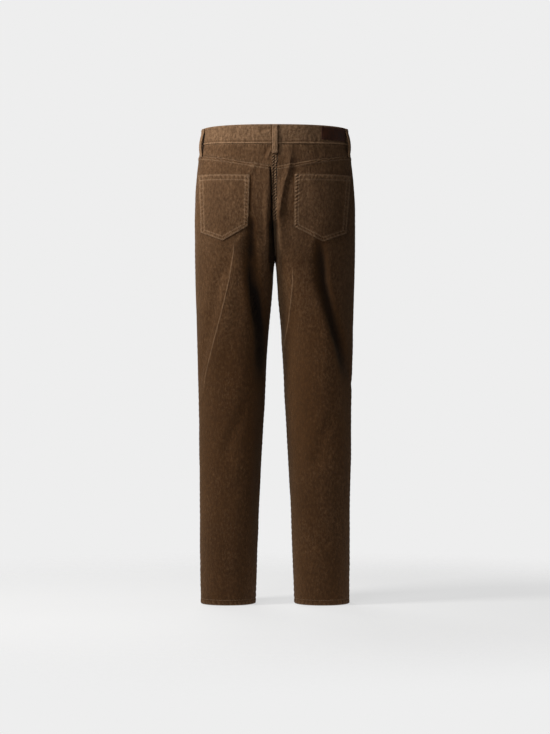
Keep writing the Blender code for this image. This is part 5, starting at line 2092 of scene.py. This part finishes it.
def brass_material():
    """Aged brass: dark stains and fine turning scratches."""
    material, n, shader = new_material("aged_brass")
    place = n.place()
    stain = n.noise(place, 420.0, 4.0, 0.65)
    scratch = n.noise(n.stretched(place, 900.0, 900.0, 120.0), 1.0)
    bright, dark = rgb(0.44, 0.31, 0.15), rgb(0.10, 0.062, 0.034)
    colour = n.mix(n.rerange(stain, 0.42, 0.66), bright, dark)
    roughness = n.rerange(stain, 0.3, 0.7, 0.28, 0.55)
    n.finish(shader, colour, n.bump(scratch, 0.00003, 0.5), roughness, (("Metallic", 1.0),))
    return material


# ---------------------------------------------------------------- stage, light and camera

PIXEL = 0.0022  # metres to a pixel of the 550 x 734 frame, in the plane of the origin
FRAME_HEIGHT = 734
CAMERA_FAR = 5.0
CAMERA_Z = -0.4972
PALE = 0.855  # linear grey of the ground, 238 of 255
FLOOR_Z = CAD_BOX[0][2] - 0.0008
FLOOR_REACH = 1.5
FLOOR_GLOW = 0.60
FLOOR_FADE = (0.55, 1.45)  # metres from the middle over which the ground fades into the backdrop


def make_floor():
    """A pale ground that takes the soft shadow of the hems and fades into the even backdrop."""
    mesh = bpy.data.meshes.new("floor")
    shape = bmesh.new()
    bmesh.ops.create_circle(shape, cap_ends=True, segments=96, radius=FLOOR_REACH)
    shape.to_mesh(mesh)
    shape.free()
    floor = bpy.data.objects.new("floor", mesh)
    floor.location.z = FLOOR_Z
    bpy.context.scene.collection.objects.link(floor)
    material, n, shader = new_material("pale_floor")
    place = n.place()
    away = n.add("ShaderNodeVectorMath", operation="LENGTH")
    n.link(n.stretched(place, 1.0, 1.0, 0.0), away.inputs[0])
    grain = n.noise(place, 300.0, 2.0)
    dark, light = rgb(0.235, 0.235, 0.235), rgb(0.25, 0.25, 0.25)
    n.link(n.mix(n.rerange(grain, 0.3, 0.7), dark, light), shader.inputs["Base Color"])
    for key, value in (
        ("Roughness", 0.9), ("Specular IOR Level", 0.1), ("Emission Color", rgb(1, 1, 1)),
        ("Emission Strength", FLOOR_GLOW),
    ):
        shader.inputs[key].default_value = value
    n.link(n.rerange(away.outputs["Value"], *FLOOR_FADE, 1.0, 0.0), shader.inputs["Alpha"])
    mesh.materials.append(material)
    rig.stage(floor)


def add_light(name, place, target, size, power, colour):
    """A rectangular lamp that looks at a point."""
    data = bpy.data.lights.new(name, "AREA")
    data.shape = "RECTANGLE"
    data.size, data.size_y = size
    data.energy = power
    data.color = colour
    light = bpy.data.objects.new(name, data)
    light.location = place
    light.rotation_euler = (Vector(target) - Vector(place)).to_track_quat("-Z", "Y").to_euler()
    bpy.context.scene.collection.objects.link(light)


# Name, place, target height, size in metres and power in watts.
LIGHTS = (
    ("key", (1.22, 0.62, 0.72), -0.15, (0.45, 0.55), 34.0),
    ("soft", (0.9, 2.1, 0.9), -0.2, (1.2, 1.2), 22.0),
    ("front", (0.7, -2.2, 0.7), -0.35, (1.4, 1.4), 26.0),
    ("side", (-2.4, -0.5, 0.5), -0.35, (1.0, 1.4), 5.0),
)
KEY_COLOUR = (1.0, 0.985, 0.96)


def set_light():
    """Four soft lamps, and an even backdrop that lights the part only a little."""
    for name, place, height, size, power in LIGHTS:
        colour = KEY_COLOUR if name == "key" else (1.0, 1.0, 1.0)
        add_light(name, place, (0.0, 0.0, height), size, power, colour)
    world = bpy.data.worlds.new("studio")
    bpy.context.scene.world = world
    world.use_nodes = True
    tree = world.node_tree
    n = Nodes(tree)
    seen = tree.nodes["Background"]
    seen.inputs[0].default_value = rgb(PALE, PALE, PALE)
    seen.inputs[1].default_value = 1.0
    ambient = n.add("ShaderNodeBackground")
    ambient.inputs[0].default_value = rgb(0.92, 0.95, 1.0)
    ambient.inputs[1].default_value = 0.04
    path = n.add("ShaderNodeLightPath")
    blend = n.add("ShaderNodeMixShader")
    n.link(path.outputs["Is Camera Ray"], blend.inputs[0])
    n.link(ambient.outputs[0], blend.inputs[1])
    n.link(seen.outputs[0], blend.inputs[2])
    n.link(blend.outputs[0], tree.nodes["World Output"].inputs["Surface"])
    bpy.context.scene.view_settings.view_transform = "Standard"


def set_camera():
    """A straight view of the back from far off."""
    data = bpy.data.cameras.new("camera")
    data.sensor_width = 36.0
    data.sensor_fit = "AUTO"
    data.lens = data.sensor_width * CAMERA_FAR / (PIXEL * FRAME_HEIGHT)
    data.clip_end = 60.0
    camera = bpy.data.objects.new("camera", data)
    camera.location = (0.0, CAMERA_FAR, CAMERA_Z)
    camera.rotation_euler = (math.radians(90), 0.0, math.radians(180))
    bpy.context.scene.collection.objects.link(camera)
    bpy.context.scene.camera = camera


# ---------------------------------------------------------------- assembly

# The flat cut of each cloth piece in metres: width, length, and area where it isn't a rectangle.
Cut = namedtuple("Cut", "width length area")
CUTS = {
    "back": Cut(0.290, 0.985, 0.216),
    "yoke": Cut(0.225, 0.062, 0.0092),
    "front": Cut(0.245, 1.030, 0.220),
    "pocket_facing": Cut(0.130, 0.108, 0.0110),
    "back_pocket": Cut(0.128, 0.150, 0.0165),
    "waistband": Cut(0.040, 0.925, None),
    "belt_loop": Cut(0.012, 0.058, None),
}


def dress(piece, node, slot="corduroy"):
    """Put a piece on the part, in place of a node where one is named."""
    if node:
        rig.replaces(piece, node)
    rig.ride(piece, ROOT)
    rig.slot(piece, slot)
    return piece


def declare(piece, cut, threads=()):
    """State a cloth piece's flat cut and what hangs with it."""
    if cut.area:
        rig.sheet(piece, flat=(cut.width, cut.length), held="hung", area=cut.area, with_pieces=list(threads))
    else:
        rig.sheet(piece, flat=(cut.width, cut.length), held="hung", with_pieces=list(threads))


def sewn(name, parts, material):
    """Stitches as a piece of their own."""
    return dress(stitch_mesh(name, parts, material), None)


def add_sewn(node, piece, cut, rows):
    """A cloth piece in place of its node, with its stitches."""
    dress(piece, node)
    declare(piece, cut, [sewn(f"{node}_stitches", rows, THREAD_BROWN)])


set_camera()
make_floor()
set_light()

PILE_CLOTH = corduroy_material("corduroy_cloth")
INSIDE = inside_material()
THREAD_BROWN = thread_material("sewing_thread", rgb(0.150, 0.088, 0.044), rgb(0.340, 0.215, 0.122))
THREAD_MAROON = thread_material("patch_thread", rgb(0.045, 0.018, 0.011), rgb(0.085, 0.034, 0.020))
CLOTH_SIDES = (PILE_CLOTH, INSIDE)
BOTH_PILE = (PILE_CLOTH, PILE_CLOTH)

BACKS = {side: back_cloth(side) for side in (LEFT, RIGHT)}
FLAT_FRONTS = {
    side: Cloth(side, FRONT, partial(form_points, side, FRONT), [], 0) for side in (LEFT, RIGHT)
}
for side in (LEFT, RIGHT):
    hand = SIDE_NAME[side]
    back, yoke, front, facing = BACKS[side], yoke_cloth(side), front_cloth(side), facing_cloth(side)

    piece = dress(leg_panel(f"back_{hand}_cloth", back, back_top, CLOTH_SIDES), f"back_{hand}")
    top, foot = band_foot(BACK, 0.0) - 0.001, HEM_Z + 0.0006
    inside = [
        upright_allowance(f"side_allowance_{hand}", back, front, False, top, foot, 200),
        upright_allowance(
            f"inseam_allowance_{hand}", back, front, True, CROTCH_Z - 0.005, foot, 150,
        ),
        level_allowance(f"yoke_allowance_{hand}", yoke, back, yoke_seam, 90),
    ]
    if side == LEFT:
        foot = CROTCH_Z + 0.004
        inside += [
            upright_allowance(
                "rise_allowance_back", back, BACKS[RIGHT], True,
                band_foot(BACK, 1.0), foot, 110, 10, 0.0005,
            ),
            upright_allowance(
                "rise_allowance_front", FLAT_FRONTS[LEFT], FLAT_FRONTS[RIGHT], True,
                band_foot(FRONT, 1.0), foot, 110, 6, 0.0009,
            ),
        ]
    for strip_piece in inside:
        dress(strip_piece, None)
    threads = [sewn(f"back_{hand}_stitches", back_rows(back), THREAD_BROWN)]
    declare(piece, CUTS["back"], threads + inside)

    share = crowded(156, (0, 0.02, 2), (1, 0.07, 4))
    top, foot = band_foot(BACK, share) - SEAM_GAP / 2, yoke_seam(share) + SEAM_GAP / 2
    name = f"yoke_{hand}"
    piece = dress(short_piece(f"{name}_cloth", yoke, top, foot, share, 44, CLOTH_SIDES), name)
    threads = [sewn("yoke_right_stitches", yoke_rows(yoke), THREAD_BROWN)] if side == RIGHT else []
    declare(piece, CUTS["yoke"], threads)

    name = f"front_{hand}"
    piece = leg_panel(f"{name}_cloth", front, front_top, CLOTH_SIDES)
    add_sewn(name, piece, CUTS["front"], front_rows(front))

    share = np.linspace(0, FACING_REACH, 44)
    top, foot = band_foot(FRONT, share) - SEAM_GAP / 2, np.full(share.shape, FACING_FOOT_Z)
    name, sunk = f"pocket_facing_{hand}", CLOTH + FACING_DROP
    piece = short_piece(f"{name}_cloth", facing, top, foot, share, 44, BOTH_PILE, sunk)
    declare(dress(piece, name), CUTS["pocket_facing"])

    name = f"back_pocket_{hand}"
    piece = back_pocket(f"{name}_cloth", back, BOTH_PILE)
    add_sewn(name, piece, CUTS["back_pocket"], pocket_rows(back))

piece = dress(waistband(BOTH_PILE), "waistband")
tape = dress(waist_tape("waist_seam_tape"), None)
declare(piece, CUTS["waistband"], [sewn("waistband_stitches", band_rows(), THREAD_BROWN), tape])
for loop in LOOPS:
    piece = belt_loop(loop._replace(name=loop.name + "_cloth"), BOTH_PILE)
    top, foot = ring_edge(BAND_TOP, loop.angle), ring_edge(BAND_FOOT, loop.angle)
    length = round(float(top - LOOP_TOP_DROP - foot + loop.foot_drop) + LOOP_ARCH_LENGTH, 3)
    add_sewn(loop.name, piece, CUTS["belt_loop"]._replace(length=length), loop_rows(loop))
dress(waist_patch(leather_material()), "waist_patch", "leather")
dress(stitch_mesh("waist_patch_stitches", patch_rows(), THREAD_MAROON), None, "leather")
dress(waist_button(brass_material()), "waist_button", "metal")

VISUAL_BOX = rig.bounds()
with open("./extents.json", "w") as sizes:
    json.dump({
        "cad": [[float(value) for value in corner] for corner in CAD_BOX],
        "visual": [[float(value) for value in corner] for corner in VISUAL_BOX],
    }, sizes, indent=1)
